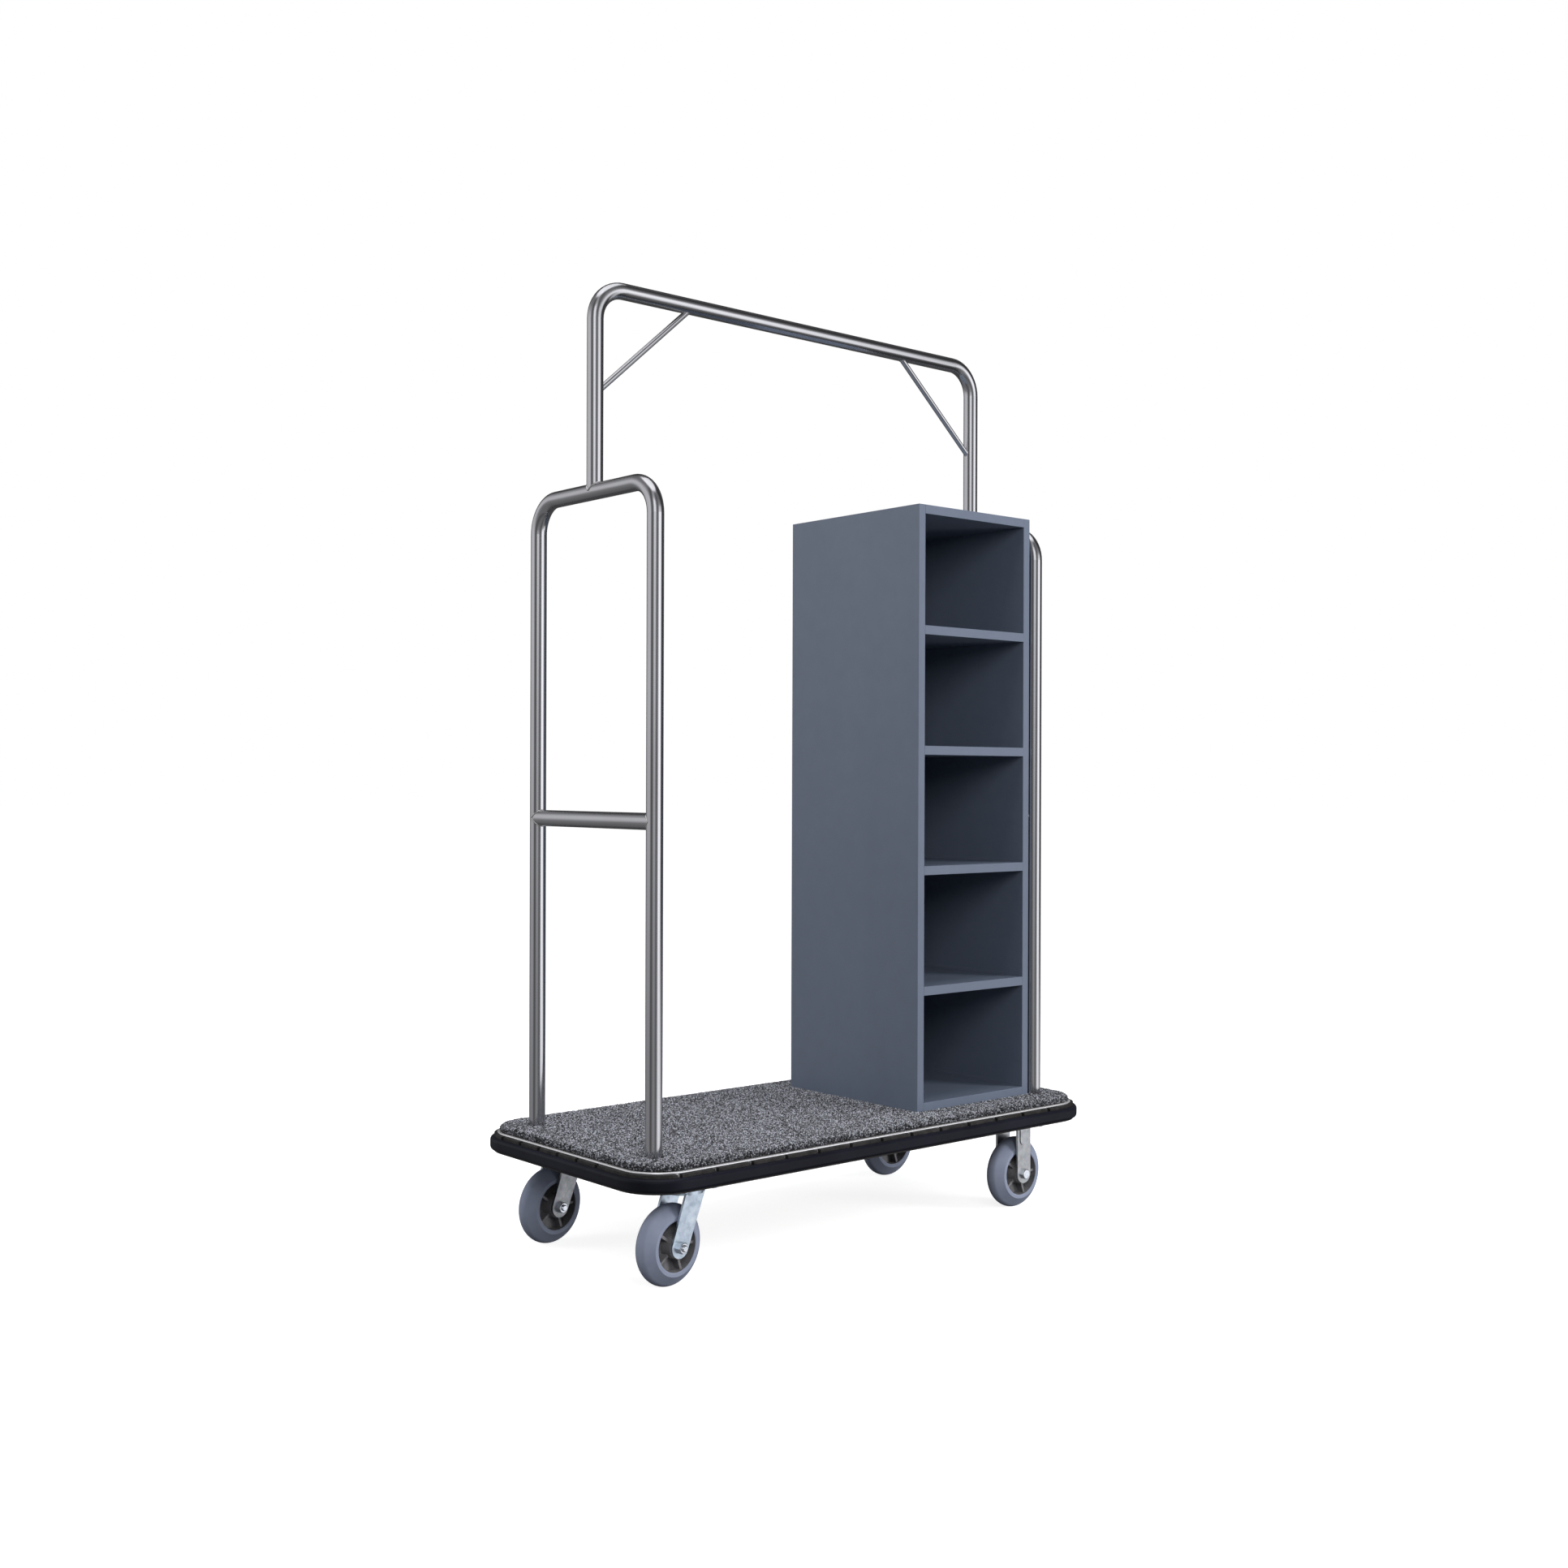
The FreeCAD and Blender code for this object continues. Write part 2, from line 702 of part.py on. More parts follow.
def make_brace(name, side):
    """Thin rod from the rail's leg up to its bar, coped to both."""
    reach, drop = dim("brace_reach"), dim("brace_drop")
    long_enough = Size(math.hypot(reach.value, drop.value), f"sqrt({reach.text}^2 + {drop.text}^2)")
    rod = cylinder(f"{name}_rod", dim("brace_diameter") / 2, long_enough,
                   side * dim("post_x"), 0, dim("rail_height") - drop)
    lean = math.degrees(math.atan2(reach.value, drop.value))
    rod.Placement.Rotation = FreeCAD.Rotation(Vector(0, -side, 0), lean)
    rod.setExpression("Placement.Rotation.Angle", f"atan({reach.text} / {drop.text})")
    leg = cylinder(f"{name}_leg_cope", tube_radius, dim("rail_height"), side * dim("post_x"), 0, 0)
    bar = cylinder(f"{name}_bar_cope", tube_radius, dim("post_x") * 2, -dim("post_x"), 0, dim("rail_height"))
    bar.Placement.Rotation = FreeCAD.Rotation(Vector(0, 1, 0), 90)
    at_leg = doc.addObject("Part::Cut", f"{name}_at_leg")
    at_leg.Base, at_leg.Tool = rod, leg
    brace = doc.addObject("Part::Cut", name)
    brace.Label = name
    brace.Base, brace.Tool = at_leg, bar
    subparts.append(brace)


def make_post_fastenings():
    """Threaded plugs inside the four post feet and the bolts that draw them to the deck."""
    thread = dim("post_bolt").value
    height = dim("plug_height").value
    plug = Part.makeCylinder(tube_radius.value - dim("tube_wall").value, height)
    plug = plug.cut(Part.makeCylinder(thread / 2, height))
    feet = [(side * dim("post_x"), facing * dim("post_y")) for side, facing in CORNERS.values()]
    group("post_plugs", plug, [(x, y, board_top) for x, y in feet])
    bolt = hex_bolt(thread, (board_top - frame_bottom).value + height)
    group("post_bolts", bolt, [(x, y, frame_bottom) for x, y in feet])


# -------------------------------------------------------------------------------- cabinet

def shelf_tops():
    """Top faces of the fixed panels: the top, four shelves and the bottom board."""
    tops = [dim("cabinet_top") - dim("shelf_pitch") * i for i in range(5)]
    return tops + [dim("bottom_board_top")]


def dowel_rows():
    """Front and rear dowel positions along Y."""
    return (dim("dowel_inset") - dim("cabinet_front"),
            cabinet_back - dim("back_panel") - dim("dowel_inset"))


def make_panel(name, x, y, z, size_x, size_y, size_z):
    """A flat board with its corner nearest the origin of its own frame at (x, y, z)."""
    body = new_body(name, x, y, z)
    outline = sketch_on(body, "XY_Plane")
    rectangle(outline, 0, 0, size_x, size_y)
    pad(body, outline, size_z)
    return body


def front_edge(edge):
    """Test for the edges in a panel's front face."""
    return near(edge.BoundBox.YMin, 0) and near(edge.BoundBox.YMax, 0)


def make_side(name, x, inner_face):
    """Full-height side panel with blind dowel holes in its inner face."""
    tall = dim("cabinet_top") - cabinet_bottom
    body = make_panel(name, x, -dim("cabinet_front"), cabinet_bottom,
                      dim("panel"), dim("cabinet_depth"), tall)
    round_edges(body, dim("panel_round"), lambda edge: front_edge(edge) or near(edge.BoundBox.ZMin, tall))
    holes = sketch_on(body, "YZ_Plane", inner_face)
    for top in shelf_tops():
        for y in dowel_rows():
            height = top - dim("panel") / 2 - cabinet_bottom
            circle(holes, y + dim("cabinet_front"), height, dim("dowel_diameter"))
    pocket(body, holes, dim("dowel_in_side"), Reversed=near(0, inner_face))


def make_shelf(name, top):
    """Board between the sides, with dowel holes in both ends."""
    width = dim("cabinet_width") - dim("panel") * 2
    depth = dim("cabinet_depth") - dim("back_panel")
    body = make_panel(name, dim("cabinet_left") + dim("panel"), -dim("cabinet_front"),
                      top - dim("panel"), width, depth, dim("panel"))
    long_front = lambda edge: front_edge(edge) and near(edge.BoundBox.XLength, width)
    round_edges(body, dim("panel_round"), long_front)
    for face, reversed_cut in ((0, True), (width, False)):
        holes = sketch_on(body, "YZ_Plane", face)
        for y in dowel_rows():
            circle(holes, y + dim("cabinet_front"), dim("panel") / 2, dim("dowel_diameter"))
        pocket(body, holes, dim("dowel_in_shelf"), Reversed=reversed_cut)
    return body


def make_cabinet():
    make_side("cabinet_side_left", dim("cabinet_left"), dim("panel"))
    make_side("cabinet_side_right", cabinet_right - dim("panel"), 0)
    names = ["cabinet_top", "shelf_1", "shelf_2", "shelf_3", "shelf_4", "cabinet_bottom"]
    for name, top in zip(names, shelf_tops()):
        body = make_shelf(name, top)
    pilot = sketch_on(body, "XY_Plane")
    for x, y in screw_places():
        circle(pilot, x - dim("cabinet_left") - dim("panel"), y + dim("cabinet_front"), dim("cabinet_screw"))
    pocket(body, pilot, dim("panel") - dim("screw_cover"), Reversed=True)
    make_panel("cabinet_back", dim("cabinet_left") + dim("panel"), cabinet_back - dim("back_panel"),
               dim("bottom_board_top") - dim("panel"), dim("cabinet_width") - dim("panel") * 2,
               dim("back_panel"), dim("cabinet_top") - dim("bottom_board_top") + dim("panel"))

    length = dim("dowel_in_side") + dim("dowel_in_shelf")
    dowel = Part.makeCylinder(dim("dowel_diameter").value / 2, length.value, Vector(0, 0, 0), Vector(1, 0, 0))
    left_end = dim("cabinet_left") + dim("panel") - dim("dowel_in_side")
    right_end = cabinet_right - dim("panel") + dim("dowel_in_side") - length
    group("cabinet_dowels", dowel, [(x, y, top - dim("panel") / 2) for x in (left_end, right_end)
                                    for y in dowel_rows() for top in shelf_tops()])

    radius = dim("cabinet_screw").value / 2
    into_panel = dim("panel") - dim("screw_cover") - dim("screw_tip_gap")
    screw = Part.makeCylinder(radius, (cabinet_bottom - board_bottom + into_panel).value)
    crown, rim, head_height = 1.3 * radius, 2 * radius, radius
    head = Part.makeCone(crown, rim, head_height, Vector(0, 0, -head_height))
    group("cabinet_screws", screw.fuse(head), [(x, y, board_bottom) for x, y in screw_places()])


# -------------------------------------------------------------------------------- casters

def tangent_angle(centre, radius, point, sign):
    """Angle on a circle, in degrees, where a line from an outside point touches it."""
    dx = point[0] - centre[0]
    dy = point[1] - centre[1]
    return math.degrees(math.atan2(dy, dx) + sign * math.acos(radius / math.hypot(dx, dy)))


def leg_outline(sketch, rear, front, top, axle_x, end_radius):
    """Side view of a fork leg: straight edges from the crown, tangent to the round end."""
    centre = (as_size(axle_x).value, axle_height.value)
    radius = end_radius.value
    rear_touch = tangent_angle(centre, radius, (as_size(rear).value, top.value), 1)
    front_touch = tangent_angle(centre, radius, (as_size(front).value, top.value), -1)
    rear_point = (centre[0] + radius * math.cos(math.radians(rear_touch)),
                  centre[1] + radius * math.sin(math.radians(rear_touch)))
    front_point = (centre[0] + radius * math.cos(math.radians(front_touch)),
                   centre[1] + radius * math.sin(math.radians(front_touch)))
    down = add_line(sketch, (rear, top), rear_point)
    end = add_arc(sketch, centre, radius, rear_touch, front_touch + 360)
    up = add_line(sketch, front_point, (front, top))
    across = add_line(sketch, (front, top), (rear, top))
    sketch.addConstraint(Sketcher.Constraint("Tangent", down, 2, end, 1))
    sketch.addConstraint(Sketcher.Constraint("Tangent", end, 2, up, 1))
    sketch.addConstraint(Sketcher.Constraint("Coincident", up, 2, across, 1))
    sketch.addConstraint(Sketcher.Constraint("Coincident", across, 2, down, 1))
    pin(sketch, down, 1, rear, top)
    pin(sketch, up, 2, front, top)
    pin(sketch, end, 3, axle_x, axle_height)
    constrain(sketch, "Radius", end, size=end_radius)


def make_fork_blank(name, x, y, outline_sizes, crown_top):
    """U-shaped fork: the side view padded to full width, then hollowed for the wheel."""
    body = new_body(name, x, y, 0)
    outline = sketch_on(body, "XZ_Plane")
    leg_outline(outline, *outline_sizes)
    pad(body, outline, fork_outside * 2, SideType="Symmetric")
    hollow = sketch_on(body, "YZ_Plane")
    half = dim("fork_inside") / 2
    rectangle(hollow, -half, 0, half, crown_top - dim("fork_crown"))
    pocket(body, hollow, dim("wheel_diameter") * 2, SideType="Symmetric")
    return body


def drill_axle(body, axle_x):
    hole = sketch_on(body, "XZ_Plane")
    circle(hole, axle_x, axle_height, dim("axle_diameter"))
    pocket(body, hole, fork_outside * 3, SideType="Symmetric")


def turn_about_z(thing, turn):
    """Turn a placed body about the vertical through its own origin, by an angle in degrees."""
    thing.Placement.Rotation = FreeCAD.Rotation(Vector(0, 0, 1), turn.value)
    thing.setExpression("Placement.Rotation.Angle", f"{turn.text} * 1 deg")


def trailing_axle(y, turn):
    """Place of the axle's middle behind the kingpin of a turned caster."""
    angle = math.radians(turn.value)
    trail = dim("caster_trail")
    back = Size(math.cos(angle), f"cos({turn.text} * 1 deg)")
    across = Size(math.sin(angle), f"sin({turn.text} * 1 deg)")
    return -dim("caster_x") - trail * back, y - trail * across


def make_swivel_fork(name, y, turn):
    """Leaning fork with a round crown that carries the lower ball race."""
    top = dim("fork_crown_top")
    axle_x = -dim("caster_trail")
    sizes = (-dim("fork_top_rear"), dim("fork_top_front"), top, axle_x, dim("fork_end"))
    body = make_fork_blank(name, -dim("caster_x"), y, sizes, top)
    turn_about_z(body, turn)
    shoulder = level_edge(top)
    round_edges(body, dim("fork_sheet"), lambda edge: shoulder(edge) and edge.BoundBox.YLength < 1)
    disc = sketch_on(body, "XY_Plane", top - dim("fork_crown"))
    circle(disc, 0, 0, dim("race_radius") * 2)
    pad(body, disc, dim("fork_crown") + dim("race_depth"))
    race = sketch_on(body, "XZ_Plane")
    circle(race, dim("race_circle"), ball_height, dim("ball_diameter") + dim("ball_clearance") * 2)
    groove(body, race)
    bore = sketch_on(body, "XY_Plane", lower_race_top)
    circle(bore, 0, 0, dim("kingpin_diameter") + dim("running_clearance") * 2)
    pocket(body, bore, dim("caster_height"))
    drill_axle(body, axle_x)


def plate_outline(sketch):
    rounded_rectangle(sketch, dim("plate_length") / 2, dim("plate_width") / 2, dim("plate_corner"))
    for dx in (-1, 1):
        for dy in (-1, 1):
            circle(sketch, dx * dim("plate_bolt_x") / 2, dy * dim("plate_bolt_y") / 2,
                   dim("plate_bolt") + dim("bolt_clearance"))


def make_caster_plate(name, y):
    """Top plate of a swivel caster with the upper ball race under it."""
    body = new_body(name, -dim("caster_x"), y, 0)
    outline = sketch_on(body, "XY_Plane", plate_bottom)
    plate_outline(outline)
    pad(body, outline, dim("plate_thickness"))
    ring = sketch_on(body, "XY_Plane", upper_race_bottom)
    circle(ring, 0, 0, dim("race_radius") * 2)
    pad(body, ring, plate_bottom - upper_race_bottom)
    race = sketch_on(body, "XZ_Plane")
    circle(race, dim("race_circle"), ball_height, dim("ball_diameter") + dim("ball_clearance") * 2)
    groove(body, race)
    bore = sketch_on(body, "XY_Plane", dim("caster_height"))
    circle(bore, 0, 0, dim("kingpin_diameter"))
    pocket(body, bore, dim("caster_height"))


def make_rigid_fork(name, y):
    """Straight fork in one piece with its mounting plate; a rib is pressed into each leg."""
    end = dim("rigid_end")
    body = make_fork_blank(name, dim("caster_x"), y, (-end, end, plate_bottom, 0, end), plate_bottom)
    outline = sketch_on(body, "XY_Plane", plate_bottom)
    plate_outline(outline)
    pad(body, outline, dim("plate_thickness"))
    for facing in (FRONT, REAR):
        rib = sketch_on(body, "XZ_Plane", -facing * fork_outside)
        half_rib = dim("fork_rib_width") / 2
        rounded_rectangle(rib, half_rib, dim("fork_rib_length") / 2, half_rib * RIB_ROUND,
                          plate_bottom - dim("fork_rib_drop") - dim("fork_rib_length") / 2)
        pad(body, rib, dim("fork_rib_height"), Reversed=facing == REAR)
    drill_axle(body, 0)


def make_axle(tag, x, y, head_side, turn):
    """Axle bolt through the fork and the hub, and its nut."""
    thread = dim("axle_diameter").value
    face = fork_outside.value
    nut_height = thread * NUT_HEIGHT
    end = -face - nut_height - dim("axle_point").value
    shank = Part.makeCylinder(thread / 2, face - end, Vector(0, 0, end))
    end_edges = [edge for edge in shank.Edges if near(edge.BoundBox.ZMax, end)]
    shank = shank.makeChamfer(dim("axle_chamfer").value, end_edges)
    bolt = shank.fuse(hex_prism(thread, thread * HEAD_HEIGHT).translated(Vector(0, 0, face)))
    nut = hex_prism(thread, nut_height)
    nut.rotate(Vector(0, 0, 0), Vector(1, 0, 0), 180)
    nut.translate(Vector(0, 0, -face))
    nut = nut.cut(Part.makeCylinder(thread / 2, -end, Vector(0, 0, end)))
    level = FreeCAD.Rotation(Vector(1, 0, 0), -90 * head_side)
    swivel = FreeCAD.Rotation(Vector(0, 0, 1), turn.value)
    for name, shape in ((f"axle_bolt_{tag}", bolt.removeSplitter()), (f"axle_nut_{tag}", nut)):
        feature = doc.addObject("Part::Feature", name)
        feature.Label = name
        feature.Shape = shape
        feature.Placement = FreeCAD.Placement(Vector(), swivel.multiply(level))
        place(feature, x, y, axle_height)
        subparts.append(feature)


def tyre_outline(sketch, half_tyre, half_rim):
    """Section of the tyre: a round tread, sloping sides and a band that wraps the rim's edges."""
    tread_round = dim("tread_round")
    middle = axle_height - tread_round
    shoulder = dim("tyre_shoulder")
    upper = [(shoulder, half_tyre), (dim("rim_inside") + dim("rim_lip"), half_tyre),
             (dim("rim_inside"), half_rim), (dim("rim_radius"), half_rim)]
    lower = [(radius, -width) for radius, width in reversed(upper)]
    corners = upper + lower
    touch = -tangent_angle((middle.value, 0), tread_round.value, (shoulder.value, half_tyre.value), -1)
    point = (middle.value + tread_round.value * math.cos(math.radians(touch)),
             tread_round.value * math.sin(math.radians(-touch)))
    tread = add_arc(sketch, (middle, 0), tread_round, touch, -touch)
    above = add_line(sketch, point, corners[0])
    lines = [add_line(sketch, start, end) for start, end in zip(corners, corners[1:])]
    below = add_line(sketch, corners[-1], (point[0], -point[1]))
    for before, after in zip([above] + lines, lines + [below]):
        sketch.addConstraint(Sketcher.Constraint("Coincident", before, 2, after, 1))
    sketch.addConstraint(Sketcher.Constraint("Tangent", tread, 2, above, 1))
    sketch.addConstraint(Sketcher.Constraint("Tangent", below, 2, tread, 1))
    for line, corner in zip(lines, corners):
        pin(sketch, line, 1, *corner)
    pin(sketch, below, 1, *corners[-1])
    constrain(sketch, "DistanceX", -1, 1, tread, 3, size=middle)
    sketch.addConstraint(Sketcher.Constraint("PointOnObject", tread, 3, -1))
    constrain(sketch, "Radius", tread, size=tread_round)


def make_wheel(tag, x, y, turn):
    """Round-section tyre on a five-ribbed core that turns on a plain roller sleeve."""
    half_tyre = dim("tyre_width") / 2
    half_rim = dim("rim_width") / 2
    half_hub = dim("hub_length") / 2
    tyre = new_body(f"tyre_{tag}", x, y, axle_height)
    section = sketch_on(tyre, "XY_Plane")
    tyre_outline(section, half_tyre, half_rim)
    revolve(tyre, section)

    core = new_body(f"wheel_core_{tag}", x, y, axle_height)
    section = sketch_on(core, "XY_Plane")
    bore = dim("bearing_diameter") / 2
    half_web = dim("web") / 2
    hub, rim = dim("hub_radius"), dim("rim_inside")
    hub_foot, rim_foot = hub + dim("hub_draft"), rim - dim("rim_draft")
    upper = [(bore, half_hub), (hub, half_hub), (hub_foot, half_web),
             (rim_foot, half_web), (rim, half_rim), (dim("rim_radius"), half_rim)]
    lower = [(radius, -width) for radius, width in reversed(upper)]
    polygon(section, upper + lower)
    revolve(core, section)
    rib = sketch_on(core, "XY_Plane")
    half_rib = dim("rib_width") / 2
    rectangle(rib, hub - dim("hub_draft"), -half_rib, rim + dim("rim_draft"), half_rib)
    first = pad(core, rib, dim("rib"), SideType="Symmetric")
    pattern(core, "PolarPattern", first, Axis=(rib, ["V_Axis"]), Angle=360, Occurrences=5)

    bearing = new_body(f"wheel_bearing_{tag}", x, y, axle_height)
    section = sketch_on(bearing, "XZ_Plane")
    circle(section, 0, 0, dim("bearing_diameter"))
    circle(section, 0, 0, dim("axle_diameter") + dim("running_clearance") * 2)
    pad(bearing, section, dim("hub_length"), SideType="Symmetric")
    for turned in (tyre, core, bearing):
        turn_about_z(turned, turn)


def make_casters():
    for tag, (side, facing) in CORNERS.items():
        y = facing * dim("caster_y")
        if side == LEFT:
            turn = dim("front_turn" if facing == FRONT else "rear_turn")
            make_caster_plate(f"caster_plate_{tag}", y)
            make_swivel_fork(f"fork_{tag}", y, turn)
            axle_x, axle_y = trailing_axle(y, turn)
        else:
            turn = Size(0, "0")
            make_rigid_fork(f"fork_{tag}", y)
            axle_x, axle_y = dim("caster_x"), y
        make_axle(tag, axle_x, axle_y, -side, turn)
        make_wheel(tag, axle_x, axle_y, turn)

    make_swivel_bearings()
    make_caster_fastenings()


def make_swivel_bearings():
    """A ring of balls between the races of each swivel caster, and the kingpin through them."""
    swivels = [(-dim("caster_x"), facing * dim("caster_y")) for facing in (FRONT, REAR)]
    ball = Part.makeSphere(dim("ball_diameter").value / 2)
    ring = dim("race_circle").value
    turns = [math.radians(angle) for angle in range(0, 360, 20)]
    group("swivel_balls", ball, [(x + ring * math.cos(turn), y + ring * math.sin(turn), ball_height)
                                 for x, y in swivels for turn in turns])
    crown_bottom = dim("fork_crown_top") - dim("fork_crown")
    gap = dim("kingpin_gap").value
    head_height = dim("kingpin_head_height").value
    length = (dim("caster_height") - crown_bottom).value + gap
    shank = Part.makeCylinder(dim("kingpin_diameter").value / 2, length, Vector(0, 0, -gap))
    head = Part.makeCylinder(dim("kingpin_head").value / 2, head_height, Vector(0, 0, -gap - head_height))
    group("kingpins", shank.fuse(head), [(x, y, crown_bottom) for x, y in swivels])


def make_caster_fastenings():
    """The four bolts and nuts that hold each caster's plate to its channel."""
    thread = dim("plate_bolt").value
    wall = dim("frame_sheet")
    bolt = hex_bolt(thread, (dim("plate_thickness") + wall + dim("plate_bolt_end")).value)
    nut_height = thread * NUT_HEIGHT
    nut = hex_prism(thread, nut_height).cut(Part.makeCylinder(thread / 2, nut_height))
    spots = bolt_places(LEFT) + bolt_places(RIGHT)
    group("caster_bolts", bolt, [(x, y, plate_bottom) for x, y in spots])
    group("caster_nuts", nut, [(x, y, frame_bottom + wall) for x, y in spots])


# ------------------------------------------------------------------------------- the cart

make_deck_frame()
make_caster_channel("caster_channel_left", LEFT)
make_caster_channel("caster_channel_right", RIGHT)
make_stringer("stringer_front", FRONT)
make_stringer("stringer_rear", REAR)
make_deck_board()
make_carpet()
make_edge_trim()
make_bumper_track()
make_bumper()
for hoop_end, hoop_side in (("left", LEFT), ("right", RIGHT)):
    make_hoop(f"hoop_{hoop_end}", hoop_side)
    make_crossbar(f"crossbar_{hoop_end}", hoop_side)
    make_brace(f"brace_{hoop_end}", hoop_side)
make_hanging_rail()
make_post_fastenings()
make_cabinet()
make_casters()
doc.recompute()

# ----------------------------------------------------------------------- check and export

for item in doc.Objects:
    if "Invalid" in item.State or "Error" in item.State:
        raise ValueError(f"{item.Name} failed: {item.State}")
for part in subparts:
    if part.Shape.isNull() or not part.Shape.isValid():
        raise ValueError(f"{part.Label} has no valid shape")
for part in subparts:
    part.Shape.exportStep(f"parts/{part.Label}.step")
print(f"{len(subparts)} sub-parts written")
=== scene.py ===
import json
import math

import bpy
import numpy as np
from mathutils import Matrix, Vector

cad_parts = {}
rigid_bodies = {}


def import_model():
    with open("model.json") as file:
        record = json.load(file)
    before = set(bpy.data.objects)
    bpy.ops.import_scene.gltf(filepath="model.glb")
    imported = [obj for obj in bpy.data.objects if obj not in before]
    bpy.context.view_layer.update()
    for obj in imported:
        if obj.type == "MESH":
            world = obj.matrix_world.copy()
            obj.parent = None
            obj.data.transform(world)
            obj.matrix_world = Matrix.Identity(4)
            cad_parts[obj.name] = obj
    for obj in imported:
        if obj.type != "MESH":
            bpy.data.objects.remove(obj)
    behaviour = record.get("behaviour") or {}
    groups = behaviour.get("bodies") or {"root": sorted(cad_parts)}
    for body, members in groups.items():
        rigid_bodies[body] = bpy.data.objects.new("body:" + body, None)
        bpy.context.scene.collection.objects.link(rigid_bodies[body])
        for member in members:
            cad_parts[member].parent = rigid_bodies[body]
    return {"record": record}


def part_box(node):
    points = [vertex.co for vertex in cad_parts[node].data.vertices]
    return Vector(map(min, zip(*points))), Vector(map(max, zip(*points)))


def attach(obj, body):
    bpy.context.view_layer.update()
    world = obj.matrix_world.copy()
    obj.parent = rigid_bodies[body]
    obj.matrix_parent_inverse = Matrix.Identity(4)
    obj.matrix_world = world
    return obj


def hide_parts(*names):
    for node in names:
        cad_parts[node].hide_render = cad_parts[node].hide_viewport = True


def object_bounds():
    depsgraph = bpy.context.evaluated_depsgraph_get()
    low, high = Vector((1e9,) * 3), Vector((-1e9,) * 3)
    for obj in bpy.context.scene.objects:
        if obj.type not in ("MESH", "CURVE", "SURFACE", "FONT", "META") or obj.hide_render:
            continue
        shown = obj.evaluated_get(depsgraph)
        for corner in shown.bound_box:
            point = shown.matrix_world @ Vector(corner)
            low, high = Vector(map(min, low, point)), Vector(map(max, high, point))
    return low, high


# Hotel luggage cart: looks.  Metres, in the CAD frame: +X to the cabinet end, -Y to the open
# side, +Z up.  The hard CAD nodes keep their shapes; this script gives them their finishes,
# lays a tufted carpet over the deck board in place of the plain one, and adds welds and threads.

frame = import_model()
cad_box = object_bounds()

MM = 0.001
ROOT = "cart"
CORNERS = ("front_left", "rear_left", "front_right", "rear_right")
rng = np.random.default_rng(7)


# ---------------------------------------------------------------------------- small helpers

def low(node, axis):
    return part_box(node)[0][axis]


def high(node, axis):
    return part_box(node)[1][axis]


def middle(node, axis):
    return (low(node, axis) + high(node, axis)) / 2


def world_points(node):
    piece = bpy.data.objects[node]
    return np.array([piece.matrix_world @ v.co for v in piece.data.vertices])


def mesh_object(name, verts, faces, smooth=True):
    mesh = bpy.data.meshes.new(name)
    mesh.from_pydata([tuple(v) for v in verts], [], faces)
    mesh.update()
    mesh.validate()
    if smooth:
        mesh.polygons.foreach_set("use_smooth", [True] * len(mesh.polygons))
    piece = bpy.data.objects.new(name, mesh)
    bpy.context.scene.collection.objects.link(piece)
    return piece


def dress(piece, material):
    piece.data.materials.clear()
    piece.data.materials.append(material)


# -------------------------------------------------------------------------------- materials

class Nodes:
    """Adds nodes to one node tree and joins them."""

    def __init__(self, tree):
        self.tree = tree

    def add(self, kind, **inputs):
        node = self.tree.nodes.new(kind)
        for socket, value in inputs.items():
            self.put(node.inputs[socket.replace("_", " ")], value)
        return node

    def put(self, socket, value):
        if isinstance(value, bpy.types.NodeSocket):
            self.tree.links.new(value, socket)
        else:
            socket.default_value = value

    def ramp(self, value, *stops, blend="LINEAR"):
        """Colours or greys at places along 0 to 1."""
        node = self.add("ShaderNodeValToRGB", Fac=value)
        node.color_ramp.interpolation = blend
        elements = node.color_ramp.elements
        while len(elements) < len(stops):
            elements.new(0.5)
        for element, (position, colour) in zip(elements, stops):
            element.position = position
            red_green_blue = colour if hasattr(colour, "__len__") else (colour, colour, colour)
            element.color = (*red_green_blue, 1)
        return node.outputs["Color"]

    def span(self, value, low_value, high_value, from_low=0.0, from_high=1.0):
        node = self.add("ShaderNodeMapRange", Value=value)
        self.put(node.inputs["From Min"], from_low)
        self.put(node.inputs["From Max"], from_high)
        self.put(node.inputs["To Min"], low_value)
        self.put(node.inputs["To Max"], high_value)
        return node.outputs["Result"]

    def math(self, operation, a, b=0.0):
        node = self.add("ShaderNodeMath")
        node.operation = operation
        self.put(node.inputs[0], a)
        self.put(node.inputs[1], b)
        return node.outputs[0]

    def vector_math(self, operation, *vectors):
        node = self.add("ShaderNodeVectorMath")
        node.operation = operation
        for socket, vector in zip(node.inputs, vectors):
            self.put(socket, vector)
        return node

    def mix(self, amount, a, b, blend="MIX"):
        node = self.add("ShaderNodeMix")
        node.data_type = "RGBA"
        node.blend_type = blend
        self.put(node.inputs["Factor"], amount)
        self.put(node.inputs[6], a if isinstance(a, bpy.types.NodeSocket) else (*a, 1))
        self.put(node.inputs[7], b if isinstance(b, bpy.types.NodeSocket) else (*b, 1))
        return node.outputs[2]


